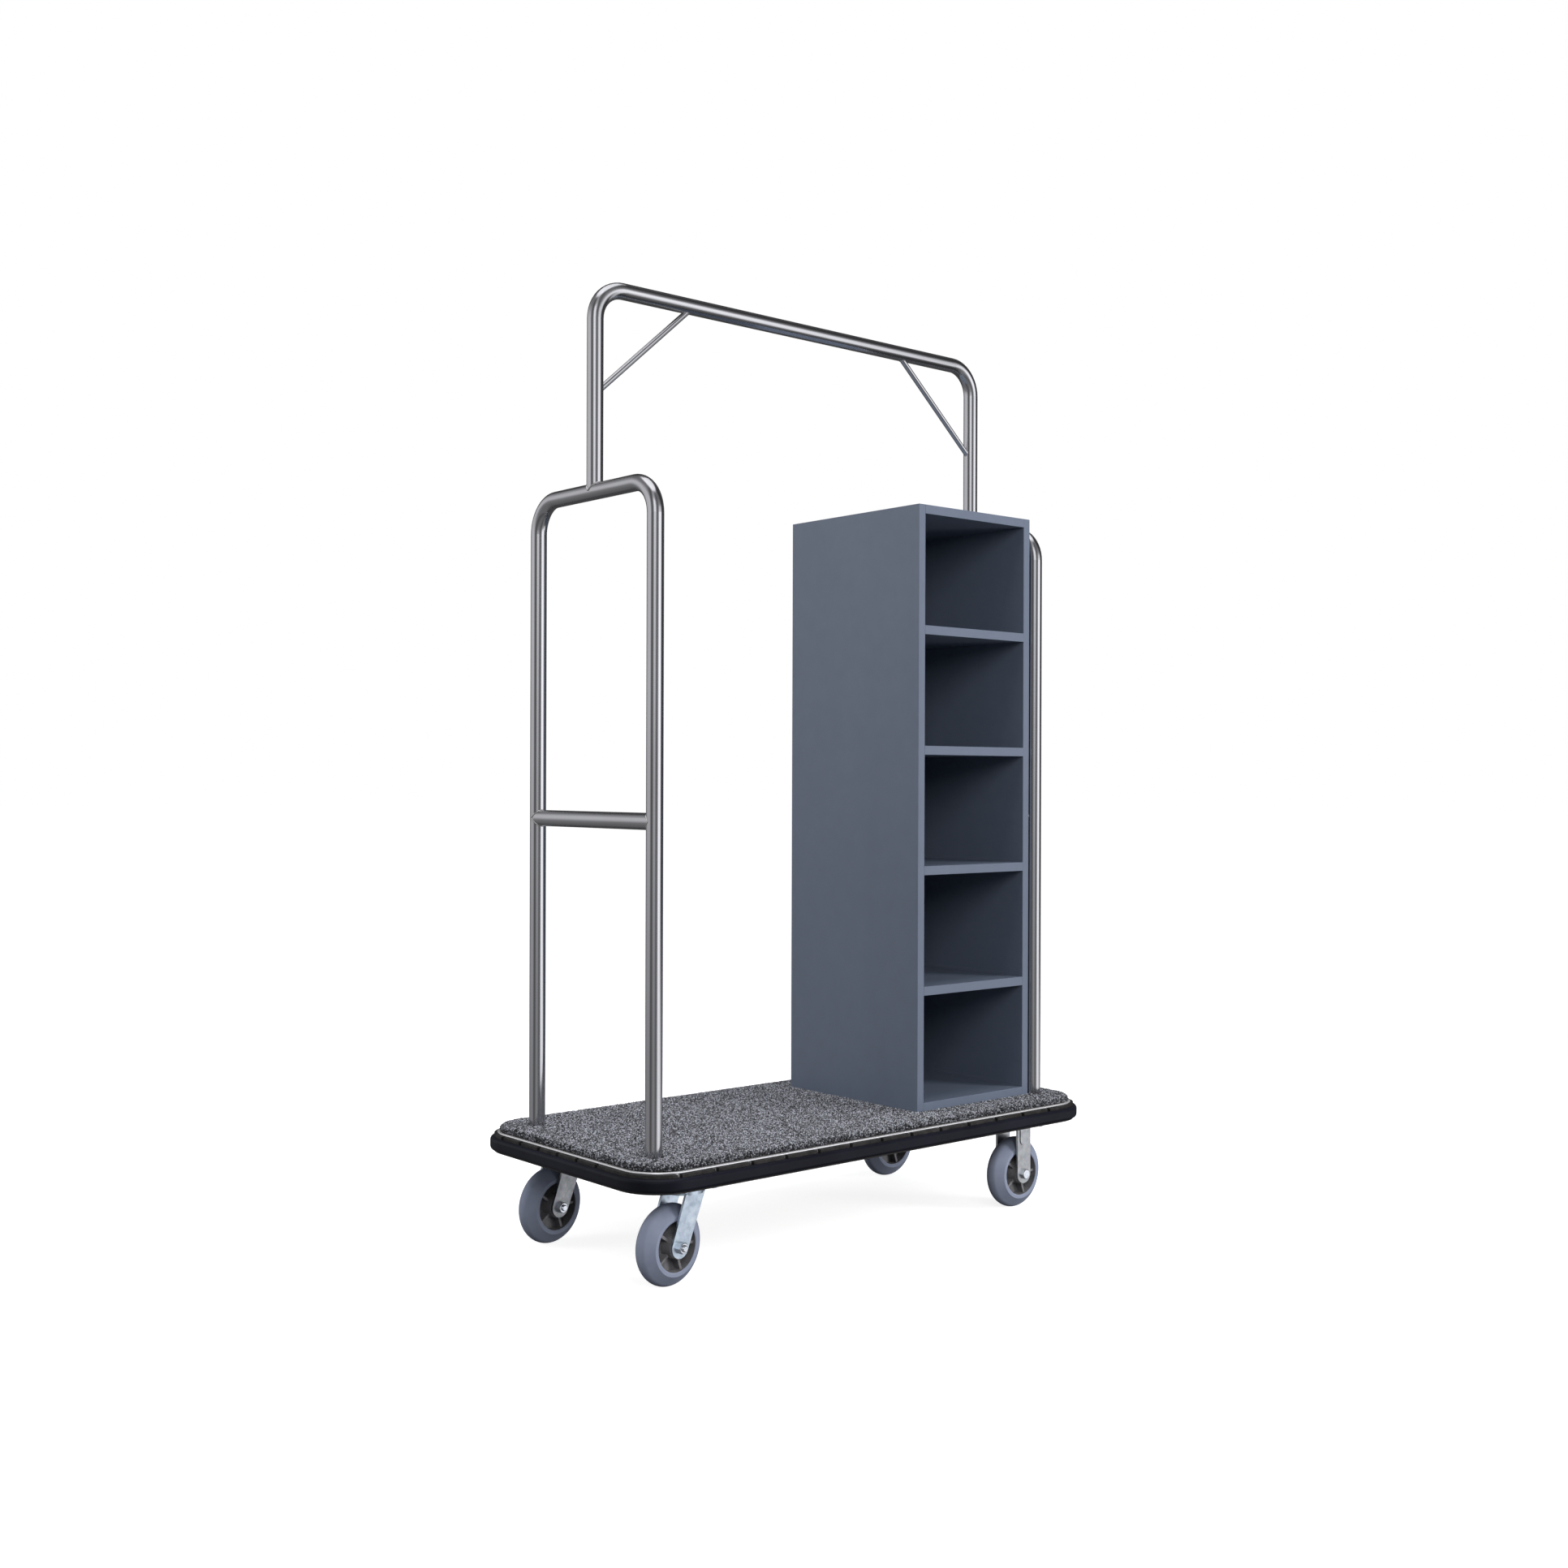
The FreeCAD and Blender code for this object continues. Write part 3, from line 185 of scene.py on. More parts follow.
class Shader(Nodes):
    """A node material under construction: one Principled BSDF and what feeds it."""

    def __init__(self, name, **constants):
        self.material = bpy.data.materials.new(name)
        self.material.use_nodes = True
        super().__init__(self.material.node_tree)
        self.surface = self.tree.nodes["Principled BSDF"]
        for socket, value in constants.items():
            self.surface.inputs[socket.replace("_", " ")].default_value = value
        self.place = self.add("ShaderNodeTexCoord").outputs["Object"]

    def feed(self, socket, value):
        self.put(self.surface.inputs[socket], value)

    def stretched(self, x, y, z, place=None):
        """The place, scaled along each axis."""
        return self.vector_math("MULTIPLY", place or self.place, (x, y, z)).outputs[0]

    def noise(self, scale, detail=4.0, rough=0.55, place=None):
        node = self.add("ShaderNodeTexNoise", Vector=place or self.place, Scale=scale,
                        Detail=detail, Roughness=rough)
        return node.outputs["Fac"]

    def cells(self, scale, output="Distance"):
        return self.add("ShaderNodeTexVoronoi", Vector=self.place, Scale=scale).outputs[output]

    def bump(self, height, distance, strength=1.0, over=None):
        """Relief of that depth in metres, over another relief if one is given."""
        node = self.add("ShaderNodeBump", Height=height, Distance=distance, Strength=strength)
        if over is not None:
            self.put(node.inputs["Normal"], over)
        return node.outputs["Normal"]


def tube_steel():
    """Satin stainless tube: fine polishing lines that run along the tube round its bends."""
    s = Shader("satin_stainless", Metallic=1.0)
    # Round a bent tube the part of the normal that is square to the bend's plane stays the
    # same along the whole length, so lines drawn from it follow the tube.
    normal = s.add("ShaderNodeNewGeometry").outputs["Normal"]
    lines = s.noise(1.0, 3, 0.6, s.stretched(26, 26, 0.0, normal))
    drift = s.noise(6, 3)
    satin = s.noise(900, 2, 0.5)
    line_tone = s.ramp(lines, (0.3, (0.50, 0.495, 0.50)), (0.7, (0.60, 0.60, 0.615)))
    drift_tone = s.ramp(drift, (0.3, (0.53, 0.522, 0.525)), (0.7, (0.59, 0.59, 0.605)))
    s.feed("Base Color", s.mix(0.4, line_tone, drift_tone))
    line_roughness = s.span(lines, 0.12, 0.17, 0.3, 0.7)
    satin_roughness = s.span(satin, -0.02, 0.02, 0.3, 0.7)
    s.feed("Roughness", s.math("ADD", line_roughness, satin_roughness))
    return s.material


def polished_trim():
    s = Shader("polished_trim", Metallic=0.72)
    scratches = s.noise(900, 2, 0.5, s.stretched(0.05, 0.05, 1))
    s.feed("Base Color", s.ramp(s.noise(25, 3), (0.3, (0.88, 0.88, 0.90)), (0.7, (0.96, 0.96, 0.98))))
    s.feed("Roughness", s.span(scratches, 0.10, 0.22))
    s.feed("Normal", s.bump(scratches, 0.02 * MM, 0.3))
    return s.material


def shaded_track():
    s = Shader("shaded_track", Metallic=0.85)
    # Painted shade: the metal is near black for the shade it sits in behind the bumper, under the carpet's
    # shoulder.
    s.feed("Base Color", s.ramp(s.noise(60, 5), (0.3, (0.036, 0.034, 0.032)), (0.75, (0.088, 0.082, 0.078))))
    s.feed("Roughness", s.span(s.noise(400, 3), 0.48, 0.66))
    return s.material


def bumper_vinyl():
    """Extruded vinyl with a fine grain, small pale scuffs and long draw lines."""
    s = Shader("bumper_vinyl", Specular_IOR_Level=0.17)
    grain = s.cells(1500)
    scuff = s.ramp(s.noise(55, 8, 0.7), (0.62, 0.0), (0.74, 1.0))
    tone = s.ramp(s.noise(9, 4), (0.3, (0.0045, 0.0048, 0.0078)), (0.7, (0.0085, 0.0092, 0.0150)))
    s.feed("Base Color", s.mix(s.math("MULTIPLY", scuff, 0.25), tone, (0.030, 0.030, 0.036)))
    s.feed("Roughness", s.span(s.noise(130, 4), 0.36, 0.52))
    draw = s.noise(700, 1, 0.5, s.stretched(0.01, 0.01, 1))
    s.feed("Normal", s.bump(grain, 0.05 * MM, 0.35, over=s.bump(draw, 0.05 * MM, 0.4)))
    return s.material


def zinc_plate(name, dim, plain, bright):
    """Zinc plating with a faint cloudy bloom and fine rolling marks."""
    s = Shader(name, Metallic=1.0)
    bloom = s.noise(70, 6, 0.65)
    spangle = s.cells(260, output="Color")
    tone = s.ramp(bloom, (0.32, dim), (0.52, plain), (0.72, bright))
    s.feed("Base Color", s.mix(0.07, tone, spangle, "OVERLAY"))
    s.feed("Roughness", s.span(bloom, 0.42, 0.26, 0.3, 0.7))
    s.feed("Normal", s.bump(s.noise(900, 3), 0.03 * MM, 0.4))
    return s.material


def grey_rubber():
    """Soft grey tyre rubber: matt and a little dusty, with a fine grain."""
    s = Shader("grey_rubber", Specular_IOR_Level=0.35)
    dust = s.noise(40, 6, 0.6)
    dusty = s.span(dust, 0.0, 0.45, 0.4, 0.8)
    s.feed("Base Color", s.mix(dusty, (0.238, 0.268, 0.358), (0.310, 0.338, 0.418)))
    s.feed("Roughness", s.span(s.noise(180, 3), 0.50, 0.66))
    s.feed("Normal", s.bump(s.noise(1300, 3), 0.04 * MM, 0.5))
    return s.material


def core_plastic():
    s = Shader("core_plastic")
    s.feed("Base Color", s.ramp(s.noise(90, 4), (0.3, (0.125, 0.123, 0.130)), (0.75, (0.190, 0.186, 0.196))))
    s.feed("Roughness", s.span(s.noise(300, 3), 0.34, 0.5))
    s.feed("Normal", s.bump(s.noise(1500, 2), 0.03 * MM, 0.5))
    return s.material


def painted_board():
    """Slate-grey lacquer on board: satin, with faint orange peel and slow tonal drift."""
    s = Shader("painted_board", Coat_Weight=0.12, Coat_Roughness=0.3)
    drift = s.noise(2.2, 3)
    cloud = s.noise(26, 5, 0.6)
    drift_tone = s.ramp(drift, (0.3, (0.098, 0.120, 0.164)), (0.7, (0.112, 0.136, 0.184)))
    cloud_tone = s.ramp(cloud, (0.3, (0.090, 0.110, 0.152)), (0.7, (0.122, 0.146, 0.196)))
    s.feed("Base Color", s.mix(0.25, drift_tone, cloud_tone))
    s.feed("Roughness", s.span(cloud, 0.36, 0.46))
    s.feed("Normal", s.bump(s.noise(420, 2), 0.05 * MM, 0.35))
    return s.material


def wood(name, dark, light):
    s = Shader(name)
    grain = s.noise(22, 6, 0.6, s.stretched(1, 12, 12))
    s.feed("Base Color", s.ramp(grain, (0.3, dark), (0.7, light)))
    s.feed("Roughness", s.span(grain, 0.5, 0.7))
    s.feed("Normal", s.bump(grain, 0.15 * MM, 0.5))
    return s.material


def black_powder_coat():
    s = Shader("black_powder_coat")
    s.feed("Base Color", s.ramp(s.noise(30, 4), (0.3, (0.018, 0.018, 0.019)), (0.7, (0.034, 0.034, 0.036))))
    s.feed("Roughness", s.span(s.noise(220, 3), 0.4, 0.58))
    s.feed("Normal", s.bump(s.noise(1100, 2), 0.06 * MM, 0.6))
    return s.material


def fastener_steel():
    """Bright zinc-plated nuts and bolt heads, with tool marks."""
    s = Shader("fastener_steel", Metallic=1.0)
    worn = s.noise(160, 5)
    s.feed("Base Color", s.ramp(worn, (0.3, (0.66, 0.70, 0.75)), (0.7, (0.88, 0.91, 0.95))))
    s.feed("Roughness", s.span(s.noise(500, 3), 0.12, 0.22))
    s.feed("Normal", s.bump(s.noise(900, 3), 0.02 * MM, 0.4))
    return s.material


def ground_steel():
    s = Shader("ground_steel", Metallic=1.0)
    s.feed("Base Color", s.ramp(s.noise(200, 3), (0.3, (0.45, 0.45, 0.45)), (0.7, (0.60, 0.60, 0.60))))
    s.feed("Roughness", s.span(s.noise(500, 2), 0.2, 0.35))
    return s.material


def carpet_yarn():
    """Heather cut pile: each tuft has its own tone, with painted shade towards its root and in fine gaps
    between the fibres.
    """
    s = Shader("carpet_yarn", Specular_IOR_Level=0.1, Roughness=0.95,
               Sheen_Weight=0.15, Sheen_Roughness=0.5)
    shade = s.add("ShaderNodeAttribute")
    shade.attribute_name = "yarn"
    fibre = s.noise(2600, 2, 0.6)
    # painted shade: a fine noise darkens the gaps between fibres
    shade_between_fibres = s.span(fibre, 0.0, 0.45, 0.35, 0.75)
    s.feed("Base Color", s.mix(shade_between_fibres, shade.outputs["Color"], (0.02, 0.02, 0.022)))
    s.feed("Normal", s.bump(fibre, 0.25 * MM, 0.8))
    return s.material


def carpet_ground():
    s = Shader("carpet_ground", Specular_IOR_Level=0.1, Roughness=0.95)
    # Near-black: the backing's own dark, with painted shade for the dense lower pile deep between the tufts.
    s.feed("Base Color", s.ramp(s.cells(330), (0.2, (0.012, 0.012, 0.013)), (0.8, (0.05, 0.05, 0.053))))
    s.feed("Normal", s.bump(s.noise(900, 3), 0.6 * MM, 0.8))
    return s.material


FINISHES = {
    "deck_steel": black_powder_coat(),
    "plywood": wood("plywood", (0.30, 0.19, 0.10), (0.52, 0.37, 0.22)),
    "polished_trim": polished_trim(),
    "track": shaded_track(),
    "bumper_vinyl": bumper_vinyl(),
    "brushed_tube": tube_steel(),
    "zinc_steel": zinc_plate("zinc_plate", (0.56, 0.65, 0.74), (0.70, 0.80, 0.90), (0.80, 0.87, 0.94)),
    "cabinet_board": painted_board(),
    "dowel_wood": wood("dowel_wood", (0.42, 0.28, 0.15), (0.62, 0.46, 0.28)),
    "grey_rubber": grey_rubber(),
    "core_plastic": core_plastic(),
    "bearing_steel": ground_steel(),
}

FASTENER = fastener_steel()
# Nodes that don't have their slot's finish: two forks get darker copies of the zinc, painted shade for the
# shade and dimmer reflections they show.
OWN_FINISHES = {
    # painted shade: turned straight to the front, this fork reflects a dimmer part of the studio
    "fork_front_right": zinc_plate("shade_dimmed_zinc", (0.43, 0.44, 0.45), (0.51, 0.52, 0.53),
                                   (0.58, 0.59, 0.59)),
    # painted shade, deepest: this fork stands in the shade under the deck
    "fork_rear_left": zinc_plate("deep_shade_zinc", (0.24, 0.25, 0.26), (0.30, 0.31, 0.32),
                                 (0.37, 0.38, 0.39)),
    **{f"axle_{kind}_{corner}": FASTENER for kind in ("bolt", "nut") for corner in CORNERS},
}

for row in frame["record"]["subparts"]:
    if row["material_slot"] in FINISHES:
        dress(bpy.data.objects[row["node"]], FINISHES[row["material_slot"]])
for node, finish in OWN_FINISHES.items():
    dress(bpy.data.objects[node], finish)


# ----------------------------------------------------------------------------------- carpet

BOARD_TOP = high("deck_board", 2)
CARPET_TOP = high("carpet", 2)
HALF_X = high("carpet", 0)
HALF_Y = high("carpet", 1)
CORNER = 75 * MM
TUFT_HEIGHT = 4.2 * MM
TUFT_PITCH = 2.9 * MM
TUFT_GAP = 1.0 * MM             # clear of the cabinet and the posts
TUFT_SINK = 0.3 * MM            # how deep a tuft's root sits in the ground
TUFT_ROW = 0.87                 # distance between rows, in pitches
TUFT_SCATTER = 0.16             # spread of the places, in pitches
EDGE_SCATTER = 0.15
EDGE_ROWS = 5                   # rows of tufts round the shoulder
EDGE_ROUND = 7 * MM
SKIRT_INSET = 0.3 * MM          # foot of the backing, inside the board's edge
GROUND_INSET = TUFT_HEIGHT * 0.75
GROUND_TOP = CARPET_TOP - TUFT_HEIGHT * 0.92
PILE_PIECES = 12
# the heather mix: up to each share of the tufts, the least and greatest shade
YARNS = ((0.33, 0.010, 0.036), (0.69, 0.075, 0.185), (1.0, 0.27, 0.57))
CABINET = (low("cabinet_side_left", 0), low("cabinet_side_left", 1),
           high("cabinet_side_right", 0), high("cabinet_side_left", 1))
TUBE = (high("crossbar_left", 0) - low("crossbar_left", 0)) / 2
POSTS = [(side * (high("crossbar_right", 0) - TUBE), facing * (high("hoop_left", 1) - TUBE))
         for side in (-1, 1) for facing in (-1, 1)]


def outline(inset, step=None, count=12):
    """Points and outward normals round the carpet, that far inside its edge."""
    half_x, half_y, radius = HALF_X - inset, HALF_Y - inset, CORNER - inset
    centres = [(half_x - radius, half_y - radius, 0), (radius - half_x, half_y - radius, 90),
               (radius - half_x, radius - half_y, 180), (half_x - radius, radius - half_y, 270)]
    points, normals = [], []
    for i, (cx, cy, start) in enumerate(centres):
        arc_count = count if step is None else max(3, round(radius * math.pi / 2 / step))
        for k in range(arc_count + 1):
            turn = math.radians(start + 90 * k / arc_count)
            normals.append((math.cos(turn), math.sin(turn)))
            points.append((cx + radius * math.cos(turn), cy + radius * math.sin(turn)))
        if step is not None:
            nx, ny, _ = centres[(i + 1) % 4]
            end = points[-1]
            turn = math.radians(start + 90)
            normal = (math.cos(turn), math.sin(turn))
            goal = (nx + radius * normal[0], ny + radius * normal[1])
            pieces = max(2, round(math.dist(end, goal) / step))
            for k in range(1, pieces):
                points.append(tuple(a + (b - a) * k / pieces for a, b in zip(end, goal)))
                normals.append(normal)
    return np.array(points), np.array(normals)


def ground_block():
    """The carpet's backing and the dense lower pile, as one closed body with a round shoulder."""
    rings = [(SKIRT_INSET, BOARD_TOP), (SKIRT_INSET, BOARD_TOP + 1.0 * MM),
             (GROUND_INSET, BOARD_TOP + 2.0 * MM)]
    steps = 6
    for k in range(steps + 1):
        turn = math.radians(90 * k / steps)
        rings.append((GROUND_INSET + EDGE_ROUND * (1 - math.cos(turn)),
                      GROUND_TOP - EDGE_ROUND * (1 - math.sin(turn))))
    verts, faces = [], []
    for inset, z in rings:
        verts += [(x, y, z) for x, y in outline(inset)[0]]
    size = len(verts) // len(rings)
    for ring in range(len(rings) - 1):
        for i in range(size):
            j = (i + 1) % size
            a, b = ring * size, (ring + 1) * size
            faces.append((a + i, a + j, b + j, b + i))
    faces.append(tuple(range(size))[::-1])
    faces.append(tuple(range((len(rings) - 1) * size, len(rings) * size)))
    piece = mesh_object("carpet_ground", verts, faces)
    piece.data.set_sharp_from_angle(angle=math.radians(50))
    return piece


def clear_of_fittings(points, gap):
    """Which points lie outside the cabinet's foot and the posts."""
    x, y = points[:, 0], points[:, 1]
    x0, y0, x1, y1 = CABINET
    keep = ~((x > x0 - gap) & (x < x1 + gap) & (y > y0 - gap) & (y < y1 + gap))
    for px, py in POSTS:
        keep &= np.hypot(x - px, y - py) > TUBE + gap
    return keep


def tuft_places():
    """Root, direction and brightness of every tuft; tufts round the shoulder carry painted shade, darker the
    more they face outwards.
    """
    inset = GROUND_INSET + EDGE_ROUND
    xs = np.arange(-HALF_X + inset, HALF_X - inset, TUFT_PITCH)
    ys = np.arange(-HALF_Y + inset, HALF_Y - inset, TUFT_PITCH * TUFT_ROW)
    grid_x, grid_y = np.meshgrid(xs, ys)
    grid_x = grid_x + (np.arange(len(ys)) % 2)[:, None] * TUFT_PITCH / 2
    flat = np.stack([grid_x.ravel(), grid_y.ravel()], axis=1)
    flat += rng.normal(0, TUFT_PITCH * TUFT_SCATTER, flat.shape)
    corner = CORNER - inset
    over = np.abs(flat) - np.array([HALF_X - inset - corner, HALF_Y - inset - corner])
    inside = ~((over[:, 0] > 0) & (over[:, 1] > 0) & (np.hypot(over[:, 0], over[:, 1]) > corner))
    flat = flat[inside & clear_of_fittings(flat, TUFT_GAP)]
    roots = [np.column_stack([flat, np.full(len(flat), GROUND_TOP - TUFT_SINK)])]
    ways = [np.tile([0.0, 0.0, 1.0], (len(flat), 1))]
    edge_shade = [np.ones(len(flat))]
    for row in range(EDGE_ROWS):
        turn = math.radians(90 * (row + 0.35) / EDGE_ROWS)
        ring_inset = GROUND_INSET + EDGE_ROUND * (1 - math.cos(turn)) + TUFT_SINK
        points, normals = outline(ring_inset, step=TUFT_PITCH)
        points = points + rng.normal(0, TUFT_PITCH * EDGE_SCATTER, points.shape)
        z = GROUND_TOP - EDGE_ROUND * (1 - math.sin(turn))
        roots.append(np.column_stack([points, np.full(len(points), z)]))
        ways.append(np.column_stack([normals * math.cos(turn), np.full(len(points), math.sin(turn))]))
        # painted shade: the shoulder's tufts darken the more they face outwards
        edge_shade.append(np.full(len(points), 0.55 + 0.35 * math.sin(turn)))
    return np.vstack(roots), np.vstack(ways), np.concatenate(edge_shade)


def tuft_meshes():
    """Cut-pile tufts as small four-sided yarns with a domed tip, in a few large pieces."""
    roots, ways, edge_shade = tuft_places()
    count = len(roots)
    ways = ways + rng.normal(0, 0.22, (count, 3))
    ways /= np.linalg.norm(ways, axis=1)[:, None]
    length = TUFT_HEIGHT * rng.uniform(0.78, 1.08, count)
    side = np.cross(ways, rng.normal(0, 1, (count, 3)))
    side /= np.linalg.norm(side, axis=1)[:, None]
    other = np.cross(ways, side)
    girth = TUFT_PITCH * rng.uniform(0.50, 0.66, count)
    levels = ((0.0, 0.85), (0.62, 1.0), (0.90, 0.62))  # along the yarn, and how wide it is there
    sides = 4
    ring = [(math.cos(math.tau * k / sides), math.sin(math.tau * k / sides)) for k in range(sides)]
    verts = []
    for along, wide in levels:
        centre = roots + ways * (length * along)[:, None]
        for c, s in ring:
            verts.append(centre + (side * c + other * s) * (girth * wide)[:, None])
    verts.append(roots + ways * length[:, None])
    per_tuft = len(verts)
    points = np.stack(verts, axis=1)

    pick = rng.random(count)
    dark, mid, pale = [rng.uniform(least, greatest, count) for _, least, greatest in YARNS]
    shade = np.where(pick < YARNS[0][0], dark, np.where(pick < YARNS[1][0], mid, pale)) * edge_shade
    tint = np.array([0.95, 0.975, 1.095])

    faces = []
    for level in range(len(levels) - 1):
        for k in range(sides):
            a, b = level * sides + k, level * sides + (k + 1) % sides
            faces.append((a, b, b + sides, a + sides))
    top = (len(levels) - 1) * sides
    tips = [(top + k, top + (k + 1) % sides, per_tuft - 1) for k in range(sides)]

    # Painted shade down each yarn, darkest at the root between the tufts, and a faint painted highlight at
    # the tip.
    depth = np.array([0.35] * sides + [0.9] * sides + [1.0] * sides + [1.05])
    order = np.argsort(roots[:, 0], kind="stable")
    made = []
    for number, chosen in enumerate(np.array_split(order, PILE_PIECES), start=1):
        base = (np.arange(len(chosen)) * per_tuft)[:, None, None]
        quads = (base + np.array(faces)[None]).reshape(-1, 4)
        triangles = (base + np.array(tips)[None]).reshape(-1, 3)
        mesh = bpy.data.meshes.new(f"carpet_pile_{number}")
        loops = np.concatenate([quads.ravel(), triangles.ravel()])
        starts = np.concatenate([np.arange(len(quads)) * 4, len(quads) * 4 + np.arange(len(triangles)) * 3])
        mesh.vertices.add(len(chosen) * per_tuft)
        mesh.vertices.foreach_set("co", points[chosen].astype(np.float32).ravel())
        mesh.loops.add(len(loops))
        mesh.loops.foreach_set("vertex_index", loops.astype(np.int32))
        mesh.polygons.add(len(starts))
        mesh.polygons.foreach_set("loop_start", starts.astype(np.int32))
        mesh.polygons.foreach_set("use_smooth", np.ones(len(starts), bool))
        mesh.update(calc_edges=True)
        colour = np.ones((len(chosen), per_tuft, 4), np.float32)
        colour[:, :, :3] = (shade[chosen][:, None] * depth[None])[:, :, None] * tint
        layer = mesh.color_attributes.new("yarn", "FLOAT_COLOR", "POINT")
        layer.data.foreach_set("color", colour.ravel())
        piece = bpy.data.objects.new(mesh.name, mesh)
        bpy.context.scene.collection.objects.link(piece)
        made.append(piece)
    return made


carpet = ground_block()
dress(carpet, carpet_ground())
pile = tuft_meshes()
yarn = carpet_yarn()
for piece in pile:
    dress(piece, yarn)
for piece in [carpet] + pile:
    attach(piece, ROOT)
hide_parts("carpet")


# ------------------------------------------------------------------------- welds and threads

def bead(name, path, radius, closed=True, sides=8, ripple=0.0, ripples=0):
    """A round bead along a path, with small ripples as a weld has."""
    count = len(path)
    verts, faces = [], []
    for i, point in enumerate(path):
        ahead = path[(i + 1) % count] if closed or i + 1 < count else point
        behind = path[i - 1] if closed or i > 0 else point
        along = (ahead - behind).normalized()
        side = along.orthogonal().normalized() if i == 0 else (side - along * side.dot(along)).normalized()
        up = along.cross(side)
        size = radius * (1 + ripple * math.sin(math.tau * ripples * i / count))
        for k in range(sides):
            turn = math.tau * k / sides
            verts.append(point + (side * math.cos(turn) + up * math.sin(turn)) * size)
    for i in range(count if closed else count - 1):
        j = (i + 1) % count
        for k in range(sides):
            m = (k + 1) % sides
            faces.append((i * sides + k, i * sides + m, j * sides + m, j * sides + k))
    if not closed:
        faces.append(tuple(range(sides))[::-1])
        faces.append(tuple(range((count - 1) * sides, count * sides)))
    return mesh_object(name, verts, faces)


def meeting(start, along, radius, main_point, main_axis, count=72):
    """Closed path where a tube that sets out from start meets the skin of a 32 mm tube."""
    side = along.orthogonal().normalized()
    up = along.cross(side)
    skin = radius * 0.998       # a little inside the tube's skin, so that the bead sinks in
    way = along - main_axis * along.dot(main_axis)
    path = []
    for i in range(count):
        turn = math.tau * i / count
        point = start + (side * math.cos(turn) + up * math.sin(turn)) * skin
        gap = point - main_point
        gap -= main_axis * gap.dot(main_axis)
        a, b, c = way.dot(way), 2 * gap.dot(way), gap.dot(gap) - TUBE ** 2
        path.append(point + along * (-b - math.sqrt(max(b * b - 4 * a * c, 0))) / (2 * a))
    return path


def weld_metal():
    s = Shader("weld_metal", Metallic=1.0)
    heat = s.noise(220, 4)
    s.feed("Base Color", s.ramp(heat, (0.3, (0.60, 0.57, 0.53)), (0.7, (0.82, 0.81, 0.80))))
    s.feed("Roughness", s.span(s.noise(700, 3), 0.22, 0.42))
    s.feed("Normal", s.bump(s.noise(1200, 2), 0.08 * MM, 0.6))
    return s.material


def add_weld(name, path, radius):
    ripples = round(sum((b - a).length for a, b in zip(path, path[1:])) / WELD_RIPPLE)
    piece = bead(name, path, radius, ripple=0.12, ripples=ripples)
    dress(piece, WELD)
    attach(piece, ROOT)


def brace_line(node):
    """A point on the middle line of a brace rod, its direction upwards, and its radius."""
    brace = bpy.data.objects[node]
    normals = np.array([brace.matrix_world.to_3x3() @ f.normal for f in brace.data.polygons])
    areas = np.array([f.area for f in brace.data.polygons])
    _, directions = np.linalg.eigh((normals * areas[:, None]).T @ normals)
    axis = Vector(directions[:, 0])
    axis *= 1 if axis.z > 0 else -1
    spots = world_points(node)
    along = spots @ np.array(axis)
    around = spots - np.outer(along, np.array(axis))
    centre = (around.max(axis=0) + around.min(axis=0)) / 2
    radius = (high(node, 1) - low(node, 1)) / 2
    return Vector(centre) + axis * float(np.median(along)), axis, radius


WELD = weld_metal()
WELD_RIPPLE = 1.6 * MM
CROSSBAR_WELD = 1.5 * MM
RAIL_WELD = 1.7 * MM
BRACE_WELD = 0.9 * MM
WELL_ABOVE = 100 * MM
X, Y, Z = Vector((1, 0, 0)), Vector((0, 1, 0)), Vector((0, 0, 1))
rail_top = Vector((0, 0, high("hanging_rail", 2) - TUBE))
for end, side in (("left", -1), ("right", 1)):
    post_x = middle(f"hoop_{end}", 0)
    post_y = high(f"hoop_{end}", 1) - TUBE
    bar = Vector((middle(f"crossbar_{end}", 0), 0, middle(f"crossbar_{end}", 2)))
    for face, facing in (("front", -1), ("rear", 1)):
        post = Vector((post_x, facing * post_y, 0))
        add_weld(f"weld_crossbar_{end}_{face}", meeting(bar, Y * facing, TUBE, post, Z), CROSSBAR_WELD)
    hoop_top = Vector((post_x, 0, high(f"hoop_{end}", 2) - TUBE))
    rail_leg = Vector((side * (high("hanging_rail", 0) - TUBE), 0, 0))
    leg_start = rail_leg + Z * (hoop_top.z + WELL_ABOVE)
    add_weld(f"weld_rail_{end}", meeting(leg_start, -Z, TUBE, hoop_top, Y), RAIL_WELD)
    start, axis, rod = brace_line(f"brace_{end}")
    add_weld(f"weld_brace_top_{end}", meeting(start, axis, rod, rail_top, X, 40), BRACE_WELD)
    add_weld(f"weld_brace_foot_{end}", meeting(start, -axis, rod, rail_leg, Z, 40), BRACE_WELD)


THREAD_RADIUS = 6 * MM
THREAD_PITCH = 1.75 * MM
THREAD_RIDGE = 0.42 * MM
THREAD_START = 0.2 * MM         # first turn, past the nut's face
THREAD_END = 1.4 * MM           # last turn, before the bolt's tip
THREAD_STEPS = 28               # points in one turn


